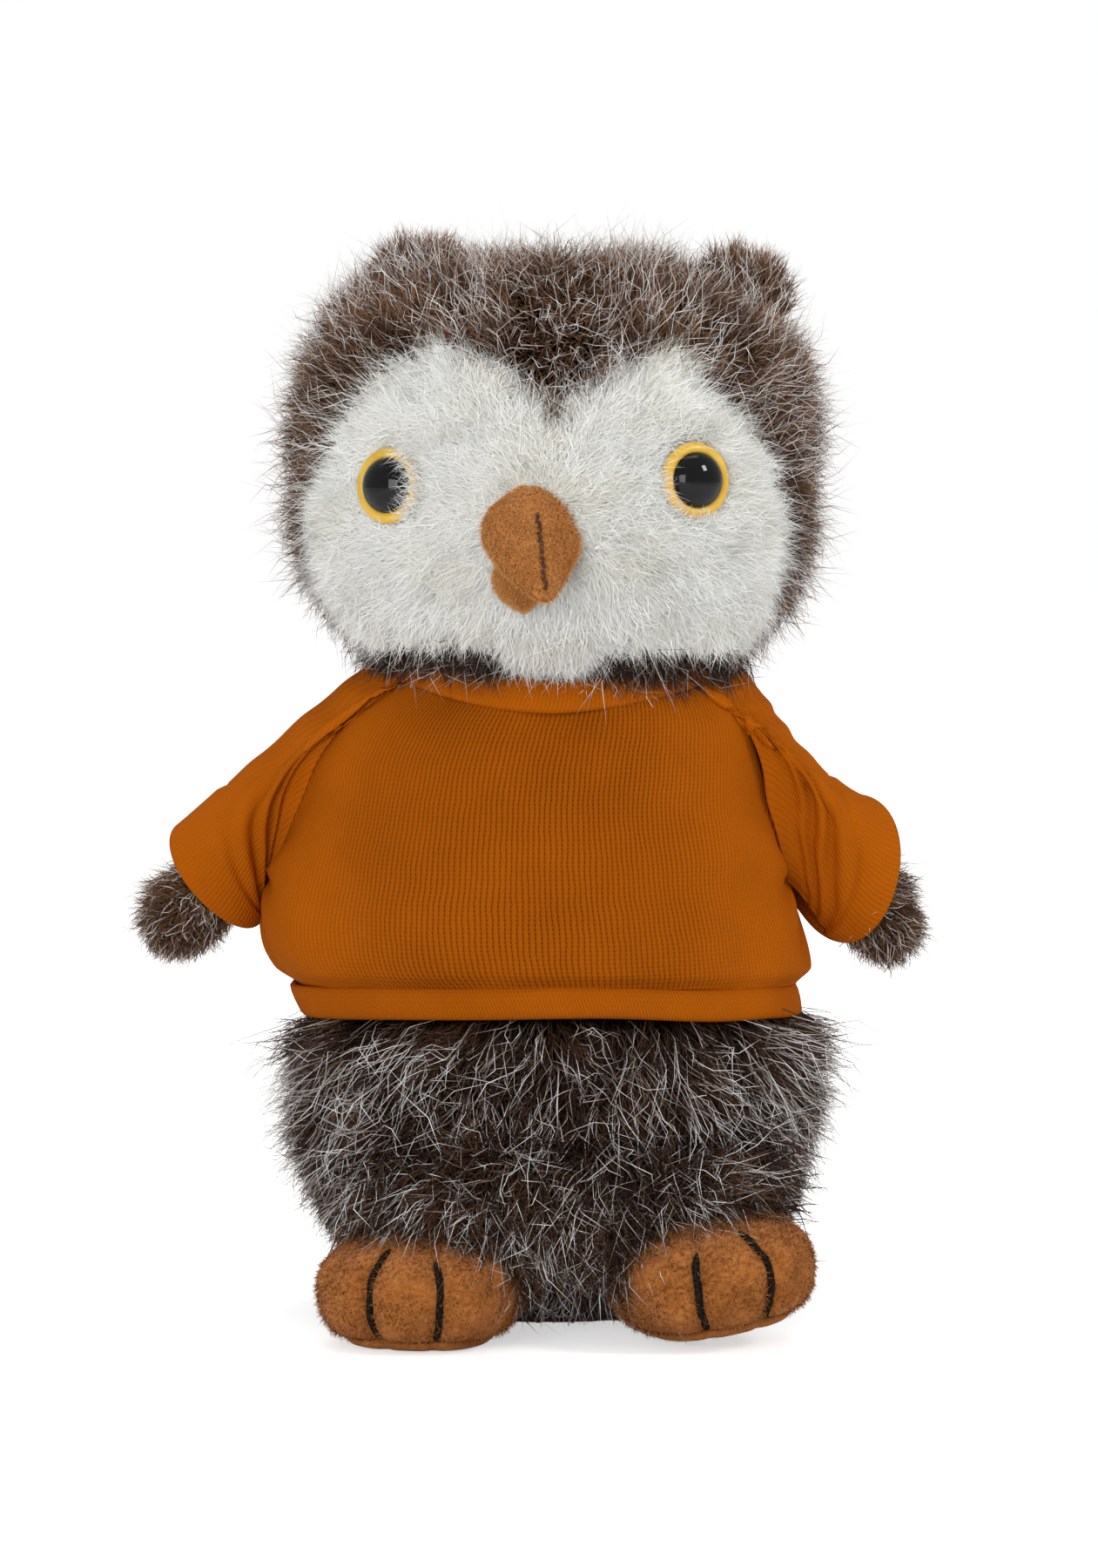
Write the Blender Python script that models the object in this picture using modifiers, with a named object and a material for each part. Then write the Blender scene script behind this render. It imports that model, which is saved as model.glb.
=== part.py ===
"""A plush owl in a knitted shirt, standing on the flat base of its torso.

Units are metres and +Z is up. The owl faces -Y, and the origin is the centre of its flat base.
Fur fabric is modelled at the outline that its pile fills, with the stuffing inside it.
"""

import math

import bmesh
import bpy
from mathutils import Matrix, Vector

# Clearances
SEAM_GAP = 0.0003
SWING_GAP = 0.0008
CUT_OVERRUN = 0.004
WELD_DISTANCE = 0.00001

# Thickness of the fabrics, the furs with their pile
BODY_PILE = 0.006
HEAD_PILE = 0.006
FACE_PUFF = 0.0015
WING_PILE = 0.0045
JERSEY = 0.0012
RIB = 0.0022
BASE_CLOTH = 0.0015
FLEECE = 0.002

# Torso: height of the neck seam, then the girth at the hips
NECK_HEIGHT = 0.129
TORSO_HALF_WIDTH = 0.0535
TORSO_HALF_DEPTH = 0.0465
TORSO_LEAN = -0.0050
TORSO_SEGMENTS = 32

# Each ring of the torso: height, half width, half depth and sideways lean
TORSO_RING_SHARES = (
    (0.000, 0.70, 0.70, 0.0),
    (0.035, 0.82, 0.80, 0.0),
    (0.100, 0.92, 0.90, 0.0),
    (0.190, 0.985, 0.97, 0.0),
    (0.290, 1.00, 1.00, 0.0),
    (0.390, 0.975, 0.985, 0.0),
    (0.480, 0.895, 0.93, 0.15),
    (0.560, 0.935, 0.96, 0.85),
    (0.640, 0.960, 0.97, 1.0),
    (0.720, 0.940, 0.93, 1.0),
    (0.800, 0.880, 0.86, 1.0),
    (0.870, 0.870, 0.79, 0.8),
    (0.930, 0.820, 0.72, 0.4),
    (0.965, 0.740, 0.67, 0.1),
    (1.000, 0.640, 0.62, 0.0),
)

# Pellet bag inside the base
BAG_HALF_WIDTH = 0.026
BAG_HALF_DEPTH = 0.021
BAG_HEIGHT = 0.021
BAG_SEGMENTS = 14

# Each ring of the bag: height, then girth
BAG_RING_SHARES = ((0.0, 0.88), (0.25, 1.0), (0.60, 0.90), (0.85, 0.60), (1.0, 0.25))

# Shirt
HEM_HEIGHT = 0.0625
HEM_BAND = 0.0058
SHIRT_BLOUSE = 0.0032
BLOUSE_CENTRE = 0.0115
BLOUSE_REACH = 0.0155
COLLAR_HEIGHT = 0.007

# Wings and sleeves, from the shoulder to the tip
WING_RADIUS = 0.0112
WING_LENGTH = 0.0405
WING_TIP_WIDTH = 0.0118
WING_TIP_DEPTH = 0.0090
SLEEVE_LENGTH = 0.0205
SLEEVE_FLARE = 0.0006
ARMHOLE_RADIUS = 0.0065
SHOULDER_STANDOUT = 0.0035
WING_SEGMENTS = 16
WING_TIP_ROUND = 0.0118
TIP_BLUNT_SHARE = 0.35
BLUNT_SHARE = 0.12
SHOULDER_RING_SHARES = (0.0, 0.35, 0.62, 0.84)
TIP_RING_SHARES = (0.0, 0.25, 0.55, 0.85, 1.0)

# How far down the shirt the shoulder lies, from the neck seam to the hem band
SHOULDER_DROP_SHARE = 0.4613

# Droop below level, sweep towards the back, and how far the shoulder sits behind the middle
LEFT_WING_DEG = (49.0, 0.0)
RIGHT_WING_DEG = (50.0, 10.0)
SHOULDER_BACK = 0.0015

# Head: half sizes, and how far its underside reaches below the neck seam
HEAD_HALF_WIDTH = 0.0520
HEAD_HALF_DEPTH = 0.0430
HEAD_HALF_HEIGHT = 0.0415
HEAD_SINK = 0.0010
HEAD_RISE = HEAD_HALF_HEIGHT - HEAD_SINK
HEAD_ROUNDNESS = (2.15, 2.8)
HEAD_SEGMENTS = 32
HEAD_RINGS = 14
NECK_HOLE_RADIUS = 0.0195
MUZZLE_BULGE = 0.0045
MUZZLE_SPREAD_DEG = 30.0
MUZZLE_SHARE = (-0.03, -0.42)

# Two-lobed outline of the face: angle from picture right, and its reach as a share of the head's
FACE_OUTLINE_SHARES = (
    (-90, 0.94),
    (-62, 0.93),
    (-38, 0.90),
    (-18, 0.93),
    (0, 0.93),
    (18, 0.90),
    (34, 0.83),
    (46, 0.69),
    (57, 0.60),
    (68, 0.47),
    (80, 0.34),
    (92, 0.29),
    (104, 0.35),
    (114, 0.49),
    (124, 0.60),
    (134, 0.69),
    (146, 0.80),
    (162, 0.90),
    (180, 0.96),
    (198, 0.96),
    (218, 0.90),
    (242, 0.93),
    (270, 0.94),
)
FACE_SEGMENTS = 40
FACE_PLUG_LAYERS = 4
FACE_SEAM = 0.0006

# Ear tufts
EAR_HALF_WIDTH = 0.0105
EAR_HALF_DEPTH = 0.0070
EAR_HALF_HEIGHT = 0.0120
EAR_TAPER_SHARE = 0.35
EAR_SEGMENTS = 16
EAR_RINGS = 8

# Place of each ear's middle in the head, and how far the ear leans outwards
LEFT_EAR_SHARE = (-0.62, 0.87)
RIGHT_EAR_SHARE = (0.80, 0.80)
LEFT_EAR_LEAN_DEG = 10.0
RIGHT_EAR_LEAN_DEG = 22.0

# Safety eyes: a yellow plate behind a black domed button, locked by a washer inside the head
EYE_PLATE_RADIUS = 0.0070
EYE_PLATE_THICK = 0.0018
EYE_EDGE_ROUND = 0.0006
EYE_PLATE_SINK = 0.0012
PUPIL_RADIUS = 0.0051
PUPIL_DOME = 0.0030
PUPIL_RIM = 0.0008
PUPIL_STEPS = 5
SHANK_RADIUS = 0.0016
SHANK_LENGTH = 0.0125
WASHER_RADIUS = 0.0055
WASHER_THICK = 0.0012
TURNED_SEGMENTS = 16

# Place of each eye on the head's front, and how far its axis turns from straight ahead
LEFT_EYE_SHARE = (-0.62, -0.07)
RIGHT_EYE_SHARE = (0.50, -0.045)
LEFT_EYE_TURN_DEG = -43.0
RIGHT_EYE_TURN_DEG = 37.0
EYE_TILT_DEG = 3.0

# Beak
BEAK_HALF_WIDTH = 0.0092
BEAK_HALF_HEIGHT = 0.0090
BEAK_LENGTH = 0.0195
BEAK_HOOK = 0.0022
BEAK_PITCH_DEG = 38.0
BEAK_YAW_DEG = 10.0
BEAK_SHARE = (-0.095, -0.255)
BEAK_ROOT = 0.0060
LOWER_BEAK_HALF_WIDTH = 0.0065
LOWER_BEAK_HALF_HEIGHT = 0.0050
LOWER_BEAK_LENGTH = 0.0110
LOWER_BEAK_PITCH_DEG = 52.0
LOWER_BEAK_SHARE = (-0.150, -0.44)
BEAK_SEGMENTS = 14
BEAK_SEAM_RADIUS = 0.0004
BEAK_ROOT_SHARE = 0.8

# Each ring of a beak: distance from its root, then girth
BEAK_RING_SHARES = (
    (0.0, 1.0),
    (0.22, 0.98),
    (0.42, 0.88),
    (0.62, 0.70),
    (0.80, 0.47),
    (0.93, 0.24),
    (1.0, 0.08),
)

# Feet, with the hinge on the seam at the back of each, tucked in from the torso's front
FOOT_HALF_WIDTH = 0.0195
FOOT_HALF_LENGTH = 0.0190
FOOT_HEIGHT = 0.0225
LEFT_FOOT_SPACING = 0.0240
RIGHT_FOOT_SPACING = 0.0256
FOOT_TUCK = 0.0095
FOOT_SETBACK = TORSO_HALF_DEPTH - FOOT_TUCK
FOOT_BEHIND_HINGE = 0.0075
FOOT_ROUNDNESS = (2.5, 2.4)
TOE_DROP_SHARE = 0.30
TOE_GROOVE = 0.0022
TOE_GROOVE_DEG = 22.5
TOE_GROOVE_SPREAD_DEG = 7.0
TOE_GROOVE_REACH_SHARE = 0.7
FOOT_SEGMENTS = 32
FOOT_RINGS = 8
FOOT_INNER_SEGMENTS = 16
FOOT_INNER_RINGS = 6
STITCH_RADIUS = 0.0006
STITCH_LIFT = 0.0004
STITCH_POINTS = 9
STITCH_START_DEG = 34.0
STITCH_RUN_DEG = 60.0

# Turn of each foot outwards, and its roll about its own length
LEFT_FOOT_DEG = (14.0, 0.0)
RIGHT_FOOT_DEG = (20.0, 9.0)
FOOT_SWEEP_DEG = (0.0, 4.0, 8.0, 12.0, 16.0)
FOOT_SWEEP_HALVINGS = 14
FOOT_SLOPE_PASSES = 3

# Finish of the fabrics, the threads and the eyes
FABRIC_ROUGHNESS = 0.9
THREAD_ROUGHNESS = 0.8
EYE_PLATE_ROUGHNESS = 0.35
EYE_BUTTON_ROUGHNESS = 0.05
WASHER_ROUGHNESS = 0.5
SHARP_EDGE_DEG = 40.0

# Colours as linear RGB
BROWN_FUR = (0.085, 0.052, 0.036)
WHITE_FUR = (0.72, 0.71, 0.66)
ORANGE = (0.40, 0.098, 0.005)
TAN_FELT = (0.42, 0.17, 0.045)
TAN_FLEECE = (0.32, 0.12, 0.028)
THREAD_BLACK = (0.008, 0.007, 0.006)
THREAD_BROWN = (0.045, 0.014, 0.008)
EYE_YELLOW = (0.75, 0.50, 0.06)
EYE_BLACK = (0.004, 0.004, 0.004)
FIBRE_WHITE = (0.80, 0.80, 0.78)
BAG_GREY = (0.30, 0.30, 0.31)
PLASTIC_WHITE = (0.75, 0.75, 0.72)


def clear_scene():
    for obj in list(bpy.data.objects):
        bpy.data.objects.remove(obj, do_unlink=True)


def new_collection(name):
    collection = bpy.data.collections.new(name)
    bpy.context.scene.collection.children.link(collection)
    return collection


def add_empty(name, collection, matrix):
    empty = bpy.data.objects.new(name, None)
    empty.matrix_world = matrix
    collection.objects.link(empty)
    return empty


class Workshop:
    """Holds the two collections, and makes pieces and cutters on a parent empty."""

    def __init__(self):
        self.parts = new_collection("plush_owl")
        self.cutters = new_collection("cutters")

    def add(self, name, mesh, parent, colour=None, roughness=FABRIC_ROUGHNESS):
        """A piece of the owl when it has a colour, or else a cutter."""
        obj = bpy.data.objects.new(name, mesh)
        obj.parent = parent
        if colour is None:
            obj.hide_render = True
            obj.display_type = "WIRE"
            self.cutters.objects.link(obj)
            return obj
        material = bpy.data.materials.new(name)
        material.use_nodes = True
        shader = material.node_tree.nodes["Principled BSDF"]
        shader.inputs["Base Color"].default_value = (*colour, 1.0)
        shader.inputs["Roughness"].default_value = roughness
        shader.inputs["Metallic"].default_value = 0.0
        mesh.materials.append(material)
        mesh.shade_smooth()
        mesh.set_sharp_from_angle(angle=math.radians(SHARP_EDGE_DEG))
        self.parts.objects.link(obj)
        return obj


def cut(obj, *cutters, operation="DIFFERENCE"):
    """Applies each cutter to the piece, in the order given."""
    for cutter in cutters:
        modifier = obj.modifiers.new(cutter.name, "BOOLEAN")
        modifier.operation = operation
        modifier.object = cutter
        modifier.solver = "EXACT"


def mesh_from(bm, name):
    mesh = bpy.data.meshes.new(name)
    bm.to_mesh(mesh)
    bm.free()
    return mesh


def ball_mesh(name, segments, rings, shape):
    """A sphere whose points are moved to shape(direction), where direction is a unit vector."""
    bm = bmesh.new()
    bmesh.ops.create_uvsphere(bm, u_segments=segments, v_segments=rings, radius=1.0)
    for vert in bm.verts:
        vert.co = shape(vert.co.normalized())
    return mesh_from(bm, name)


def lofted_mesh(name, segments, stations, phase=0.0):
    """A closed form with an oval ring at each station: (height, half x, half y, shift x, shift y).

    It is a sphere with a ring for each station, and its poles lie at the middle of the end rings.
    """
    bm = bmesh.new()
    rings = len(stations) + 1
    bmesh.ops.create_uvsphere(bm, u_segments=segments, v_segments=rings, radius=1.0)
    for vert in bm.verts:
        direction = vert.co.normalized()
        ring = round((1.0 - math.acos(max(-1.0, min(1.0, direction.z))) / math.pi) * rings)
        height, half_x, half_y, shift_x, shift_y = stations[max(0, min(rings - 2, ring - 1))]
        if ring in (0, rings):
            vert.co = (shift_x, shift_y, height)
            continue
        angle = math.atan2(direction.y, direction.x) + phase
        vert.co = (
            shift_x + half_x * math.cos(angle),
            shift_y + half_y * math.sin(angle),
            height,
        )
    return mesh_from(bm, name)


def box_mesh(name, low, high):
    bm = bmesh.new()
    bmesh.ops.create_cube(bm, size=1.0)
    for vert in bm.verts:
        vert.co = [low[i] if vert.co[i] < 0 else high[i] for i in range(3)]
    return mesh_from(bm, name)


def cylinder_mesh(name, radius, low, high, segments):
    return lofted_mesh(
        name, segments, [(low, radius, radius, 0.0, 0.0), (high, radius, radius, 0.0, 0.0)]
    )


def turned_piece(shop, name, profile, parent, colour, roughness):
    """A profile of (radius, height), outer side from top to bottom, turned about Z."""
    mesh = bpy.data.meshes.new(name)
    points = [(radius, 0.0, height) for radius, height in profile]
    edges = [(i, i + 1) for i in range(len(points) - 1)]
    if min(profile[0][0], profile[-1][0]) > 0.0:
        edges.append((len(points) - 1, 0))
    mesh.from_pydata(points, edges, [])
    obj = shop.add(name, mesh, parent, colour, roughness)
    screw = obj.modifiers.new("turn", "SCREW")
    screw.steps = TURNED_SEGMENTS
    screw.render_steps = TURNED_SEGMENTS
    screw.use_merge_vertices = True
    screw.merge_threshold = WELD_DISTANCE
    return obj


def thread_piece(shop, name, points, radius, parent, colour):
    """A thread along the points, as a tube with closed ends."""
    curve = bpy.data.curves.new(name, "CURVE")
    curve.dimensions = "3D"
    spline = curve.splines.new("POLY")
    spline.points.add(len(points) - 1)
    for slot, point in zip(spline.points, points):
        slot.co = (*point, 1.0)
    curve.bevel_depth = radius
    curve.bevel_resolution = 1
    curve.use_fill_caps = True
    obj = bpy.data.objects.new(name, curve)
    obj.parent = parent
    material = bpy.data.materials.new(name)
    material.use_nodes = True
    shader = material.node_tree.nodes["Principled BSDF"]
    shader.inputs["Base Color"].default_value = (*colour, 1.0)
    shader.inputs["Roughness"].default_value = THREAD_ROUGHNESS
    curve.materials.append(material)
    shop.parts.objects.link(obj)
    return obj


# Torso


def torso_at(height):
    """Half width, half depth and sideways lean of the torso's outside at a height."""
    share = height / NECK_HEIGHT
    rows = TORSO_RING_SHARES
    for below, above in zip(rows, rows[1:]):
        if share <= above[0] or above is rows[-1]:
            part = max(0.0, min(1.0, (share - below[0]) / (above[0] - below[0])))
            width, depth, lean = (a + part * (b - a) for a, b in zip(below[1:], above[1:]))
            return TORSO_HALF_WIDTH * width, TORSO_HALF_DEPTH * depth, TORSO_LEAN * lean
    raise ValueError(height)


def torso_heights(low, high):
    """The torso's ring heights between two heights, with both ends."""
    inner = [row[0] * NECK_HEIGHT for row in TORSO_RING_SHARES]
    return [low] + [z for z in inner if low + SEAM_GAP < z < high - SEAM_GAP] + [high]


def torso_wrap(name, low, high, offset, overrun=0.0):
    """A solid that follows the torso between two heights, offset(height) outside its surface."""
    stations = []
    for z in torso_heights(low, high):
        width, depth, lean = torso_at(z)
        grow = offset(z)
        stations.append((z, width + grow, depth + grow, lean, 0.0))
    if overrun:
        stations.insert(0, (low - overrun, *stations[0][1:]))
        stations.append((high + overrun, *stations[-1][1:]))
    return lofted_mesh(name, TORSO_SEGMENTS, stations, phase=math.pi / TORSO_SEGMENTS)


def shirt_blouse(height):
    """How far the shirt hangs off the torso at a height: it blouses out just above the hem band."""
    centre = HEM_HEIGHT + BLOUSE_CENTRE
    off = min(1.0, abs(height - centre) / BLOUSE_REACH)
    return SHIRT_BLOUSE * math.cos(off * math.pi / 2) ** 2


def make_torso(shop, root, limbs):
    """The fur skin, its base panel, the stuffing and the pellet bag."""
    skin = shop.add(
        "torso_skin", torso_wrap("torso_skin", 0.0, NECK_HEIGHT, lambda z: 0.0), root, BROWN_FUR
    )
    hollow = torso_wrap(
        "torso_hollow", 0.0, NECK_HEIGHT, lambda z: -BODY_PILE, overrun=CUT_OVERRUN
    )
    cut(skin, shop.add("torso_hollow", hollow, root), *limbs)

    panel_width = torso_at(0.0)[0] - BODY_PILE - SEAM_GAP
    panel_depth = torso_at(0.0)[1] - BODY_PILE - SEAM_GAP
    panel = lofted_mesh(
        "base_panel",
        TORSO_SEGMENTS,
        [(height, panel_width, panel_depth, 0.0, 0.0) for height in (0.0, BASE_CLOTH)],
        phase=math.pi / TORSO_SEGMENTS,
    )
    base = shop.add("base_panel", panel, root, BROWN_FUR)
    cut(base, *limbs)

    floor = BASE_CLOTH + SEAM_GAP
    filling = torso_wrap(
        "torso_stuffing", floor, NECK_HEIGHT - SEAM_GAP, lambda z: -BODY_PILE - SEAM_GAP
    )
    stuffing = shop.add("torso_stuffing", filling, root, FIBRE_WHITE)

    def bag_stations(gap, foot):
        rows = []
        for up, girth in BAG_RING_SHARES:
            height = floor + up * (BAG_HEIGHT + gap) - (foot if up == 0.0 else 0.0)
            width = girth * BAG_HALF_WIDTH + gap
            depth = girth * BAG_HALF_DEPTH + gap
            rows.append((height, width, depth, 0.0, 0.0))
        return rows

    bag_room = lofted_mesh("bag_room", BAG_SEGMENTS, bag_stations(SEAM_GAP, CUT_OVERRUN))
    cut(stuffing, shop.add("bag_room", bag_room, root), *limbs)
    bag = lofted_mesh("pellet_bag", BAG_SEGMENTS, bag_stations(0.0, 0.0))
    shop.add("pellet_bag", bag, root, BAG_GREY)


def make_shirt(shop, root, armholes):
    """Front and back panels, the hem band and the neck rib."""
    hem_top = HEM_HEIGHT + HEM_BAND
    collar_base = NECK_HEIGHT - COLLAR_HEIGHT
    low = hem_top + SEAM_GAP
    high = collar_base - SEAM_GAP

    def inside(z):
        return SEAM_GAP + shirt_blouse(z)

    def outside(z):
        return inside(z) + JERSEY

    lining = torso_wrap("shirt_lining", low, high, inside, overrun=CUT_OVERRUN)
    hollow = shop.add("shirt_lining", lining, root)
    reach = TORSO_HALF_WIDTH + TORSO_HALF_DEPTH
    for name, side in (("shirt_front", -1), ("shirt_back", 1)):
        panel = shop.add(name, torso_wrap(name, low, high, outside), root, ORANGE)
        ends = sorted((side * SEAM_GAP / 2, -side * reach))
        half = box_mesh(name + "_half", (-reach, ends[0], 0.0), (reach, ends[1], NECK_HEIGHT))
        cut(panel, hollow, shop.add(name + "_half", half, root), *armholes)

    def wrap_ring(name, ring_low, ring_high, thick):
        ring = torso_wrap(name, ring_low, ring_high, lambda z: SEAM_GAP + thick)
        room = torso_wrap(
            name + "_room", ring_low, ring_high, lambda z: SEAM_GAP, overrun=CUT_OVERRUN
        )
        cut(shop.add(name, ring, root, ORANGE), shop.add(name + "_room", room, root))

    wrap_ring("hem_band", HEM_HEIGHT, hem_top, RIB)
    wrap_ring("collar_rib", collar_base, NECK_HEIGHT - SEAM_GAP, RIB)


# Wings


def wing_matrix(side, droop_deg, sweep_deg):
    """Places a wing, whose own -Z runs from its shoulder to its tip."""
    shirt_length = NECK_HEIGHT - HEM_HEIGHT - HEM_BAND
    height = NECK_HEIGHT - SHOULDER_DROP_SHARE * shirt_length
    width, _, lean = torso_at(height)
    place = Vector((lean + side * (width + SHOULDER_STANDOUT), SHOULDER_BACK, height))
    droop = math.radians(droop_deg)
    sweep = math.radians(sweep_deg)
    level = math.cos(sweep)
    along = Vector((side * math.cos(droop) * level, math.sin(sweep), -math.sin(droop) * level))
    turn = along.to_track_quat("-Z", "Y").to_matrix().to_4x4()
    return Matrix.Translation(place) @ turn


def sleeve_stations(grow, end):
    """The sleeve's outside, grown by a length: a round shoulder and a straight run to the cuff."""
    radius = WING_RADIUS + SEAM_GAP + grow
    rows = [(-end, radius + SLEEVE_FLARE, radius + SLEEVE_FLARE)]
    for share in SHOULDER_RING_SHARES:
        angle = share * math.pi / 2
        rows.append((radius * math.sin(angle), radius * math.cos(angle), radius * math.cos(angle)))
    rows.append((radius, radius * BLUNT_SHARE, radius * BLUNT_SHARE))
    return [(z, x, y, 0.0, 0.0) for z, x, y in rows]


def wing_stations(inset):
    """The wing's outside less an inset: a round shoulder and a flattened, blunt tip."""
    ball = WING_RADIUS - inset
    width, depth = WING_TIP_WIDTH - inset, WING_TIP_DEPTH - inset
    low = -WING_LENGTH + inset
    rows = []
    for share in TIP_RING_SHARES:
        angle = share * math.pi / 2
        girth = TIP_BLUNT_SHARE + (1.0 - TIP_BLUNT_SHARE) * math.sin(angle)
        rows.append((low + WING_TIP_ROUND * (1.0 - math.cos(angle)), width * girth, depth * girth))
    for share in SHOULDER_RING_SHARES:
        angle = share * math.pi / 2
        rows.append((ball * math.sin(angle), ball * math.cos(angle), ball * math.cos(angle)))
    rows.append((ball, ball * BLUNT_SHARE, ball * BLUNT_SHARE))
    return [(z, x, y, 0.0, 0.0) for z, x, y in rows]


def make_wing(shop, side_name, shoulder):
    """A fur wing with its stuffing, in the shirt's sleeve."""
    hole_mesh = cylinder_mesh("hole", ARMHOLE_RADIUS, 0.0, WING_RADIUS + CUT_OVERRUN, WING_SEGMENTS)
    hole = shop.add(side_name + "_root_hole", hole_mesh, shoulder)
    skin_mesh = lofted_mesh("skin", WING_SEGMENTS, wing_stations(0.0))
    skin = shop.add(side_name + "_wing_skin", skin_mesh, shoulder, BROWN_FUR)
    hollow = lofted_mesh("hollow", WING_SEGMENTS, wing_stations(WING_PILE))
    cut(skin, shop.add(side_name + "_wing_hollow", hollow, shoulder), hole)
    filling = lofted_mesh("filling", WING_SEGMENTS, wing_stations(WING_PILE + SEAM_GAP))
    shop.add(side_name + "_wing_stuffing", filling, shoulder, FIBRE_WHITE)

    sleeve_mesh = lofted_mesh("sleeve", WING_SEGMENTS, sleeve_stations(JERSEY, SLEEVE_LENGTH))
    sleeve = shop.add(side_name + "_sleeve", sleeve_mesh, shoulder, ORANGE)
    room = lofted_mesh("room", WING_SEGMENTS, sleeve_stations(0.0, SLEEVE_LENGTH + CUT_OVERRUN))
    cut(sleeve, shop.add(side_name + "_sleeve_room", room, shoulder), hole)


def armhole_room(shop, side_name, shoulder):
    """The hollow in the torso and the shirt in which a sleeve rests and its shoulder turns."""
    stations = sleeve_stations(JERSEY + SWING_GAP, WING_LENGTH)
    room = lofted_mesh("armhole", WING_SEGMENTS, stations)
    return shop.add(side_name + "_armhole", room, shoulder)


# Head, in a frame whose origin is the middle of the neck seam


def head_centre():
    return Vector((0.0, 0.0, HEAD_RISE))


def head_sizes(inset):
    return HEAD_HALF_WIDTH - inset, HEAD_HALF_DEPTH - inset, HEAD_HALF_HEIGHT - inset


def head_reach(direction, inset):
    """Distance from the head's centre to its surface."""
    width, depth, height = head_sizes(inset)
    flat, tall = HEAD_ROUNDNESS
    level = abs(direction.x / width) ** flat + abs(direction.y / depth) ** flat
    return (level ** (tall / flat) + abs(direction.z / height) ** tall) ** (-1.0 / tall)


def head_front(share, inset=0.0):
    """Point of the head's front at shares of its half width and half height, from its centre."""
    width, depth, height = head_sizes(inset)
    flat, tall = HEAD_ROUNDNESS
    across = abs(share[0]) ** flat
    level = (1.0 - abs(share[1]) ** tall) ** (flat / tall)
    forward = max(0.0, level - across) ** (1.0 / flat)
    return Vector((share[0] * width, -forward * depth, share[1] * height))


def muzzle_bulge(direction):
    """How far the face bulges out around the beak."""
    middle = head_front(MUZZLE_SHARE).normalized()
    angle = math.degrees(direction.angle(middle))
    return MUZZLE_BULGE * math.exp(-((angle / MUZZLE_SPREAD_DEG) ** 2))


def head_ball(name, inset, face=False):
    def shape(direction):
        reach = head_reach(direction, inset)
        if face:
            reach += FACE_PUFF + muzzle_bulge(direction)
        return head_centre() + direction * reach

    return ball_mesh(name, HEAD_SEGMENTS, HEAD_RINGS, shape)


def face_surface(share, grow=0.0):
    """Point on the outside of the face at shares of the head's half width and half height."""
    direction = head_front(share).normalized()
    reach = head_reach(direction, 0.0) + FACE_PUFF + muzzle_bulge(direction) + grow
    return head_centre() + direction * reach


def face_reach_share(angle_deg):
    """The face's reach at an angle round its middle, between the rows of its outline."""
    rows = FACE_OUTLINE_SHARES
    angle = (angle_deg + 90.0) % 360.0 - 90.0
    for (low, share_a), (high, share_b) in zip(rows, rows[1:]):
        if low <= angle <= high:
            part = (angle - low) / (high - low)
            eased = part * part * (3.0 - 2.0 * part)
            return share_a + eased * (share_b - share_a)
    raise ValueError(angle_deg)


def face_edge(angle_deg, grow):
    """Direction from the head's centre to the face's edge, grown by a length along the surface."""
    angle = math.radians(angle_deg)
    tall = HEAD_ROUNDNESS[1]
    across, up = math.cos(angle), math.sin(angle)
    to_edge = (
        abs(across / HEAD_HALF_WIDTH) ** tall + abs(up / HEAD_HALF_HEIGHT) ** tall
    ) ** (-1.0 / tall)
    reach = to_edge * face_reach_share(angle_deg)
    point = head_front((across * reach / HEAD_HALF_WIDTH, up * reach / HEAD_HALF_HEIGHT))
    slope = math.acos(max(-1.0, min(1.0, -point.normalized().y)))
    slope += grow / HEAD_HALF_DEPTH
    return Vector((across * math.sin(slope), -math.cos(slope), up * math.sin(slope)))


def face_plug_mesh(name, grow):
    """A solid sector that widens from the head's centre to the face's outline."""
    layers = FACE_PLUG_LAYERS
    far = 2.0 * HEAD_HALF_WIDTH
    bm = bmesh.new()
    bmesh.ops.create_uvsphere(bm, u_segments=FACE_SEGMENTS, v_segments=layers + 1, radius=1.0)
    for vert in bm.verts:
        place = vert.co.normalized()
        ring = round(math.acos(max(-1.0, min(1.0, place.z))) / math.pi * (layers + 1))
        if ring > layers:
            vert.co = head_centre()
            continue
        angle = math.degrees(math.atan2(place.y, place.x))
        edge = face_edge(angle, grow)
        slope = math.acos(max(-1.0, min(1.0, -edge.y))) * ring / layers
        round_angle = math.radians(angle)
        aside = math.sin(slope)
        direction = Vector(
            (math.cos(round_angle) * aside, -math.cos(slope), math.sin(round_angle) * aside)
        )
        vert.co = head_centre() + direction * far
    return mesh_from(bm, name)


def eye_matrix(share, turn_deg):
    """Places an eye, whose own +Z looks out of the face, with its plate sunk into the pile."""
    turn = math.radians(turn_deg)
    tilt = math.radians(EYE_TILT_DEG)
    level = math.cos(tilt)
    outward = Vector((math.sin(turn) * level, -math.cos(turn) * level, math.sin(tilt)))
    spot = face_surface(share) - outward * EYE_PLATE_SINK
    return Matrix.Translation(spot) @ outward.to_track_quat("Z", "Y").to_matrix().to_4x4()


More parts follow.
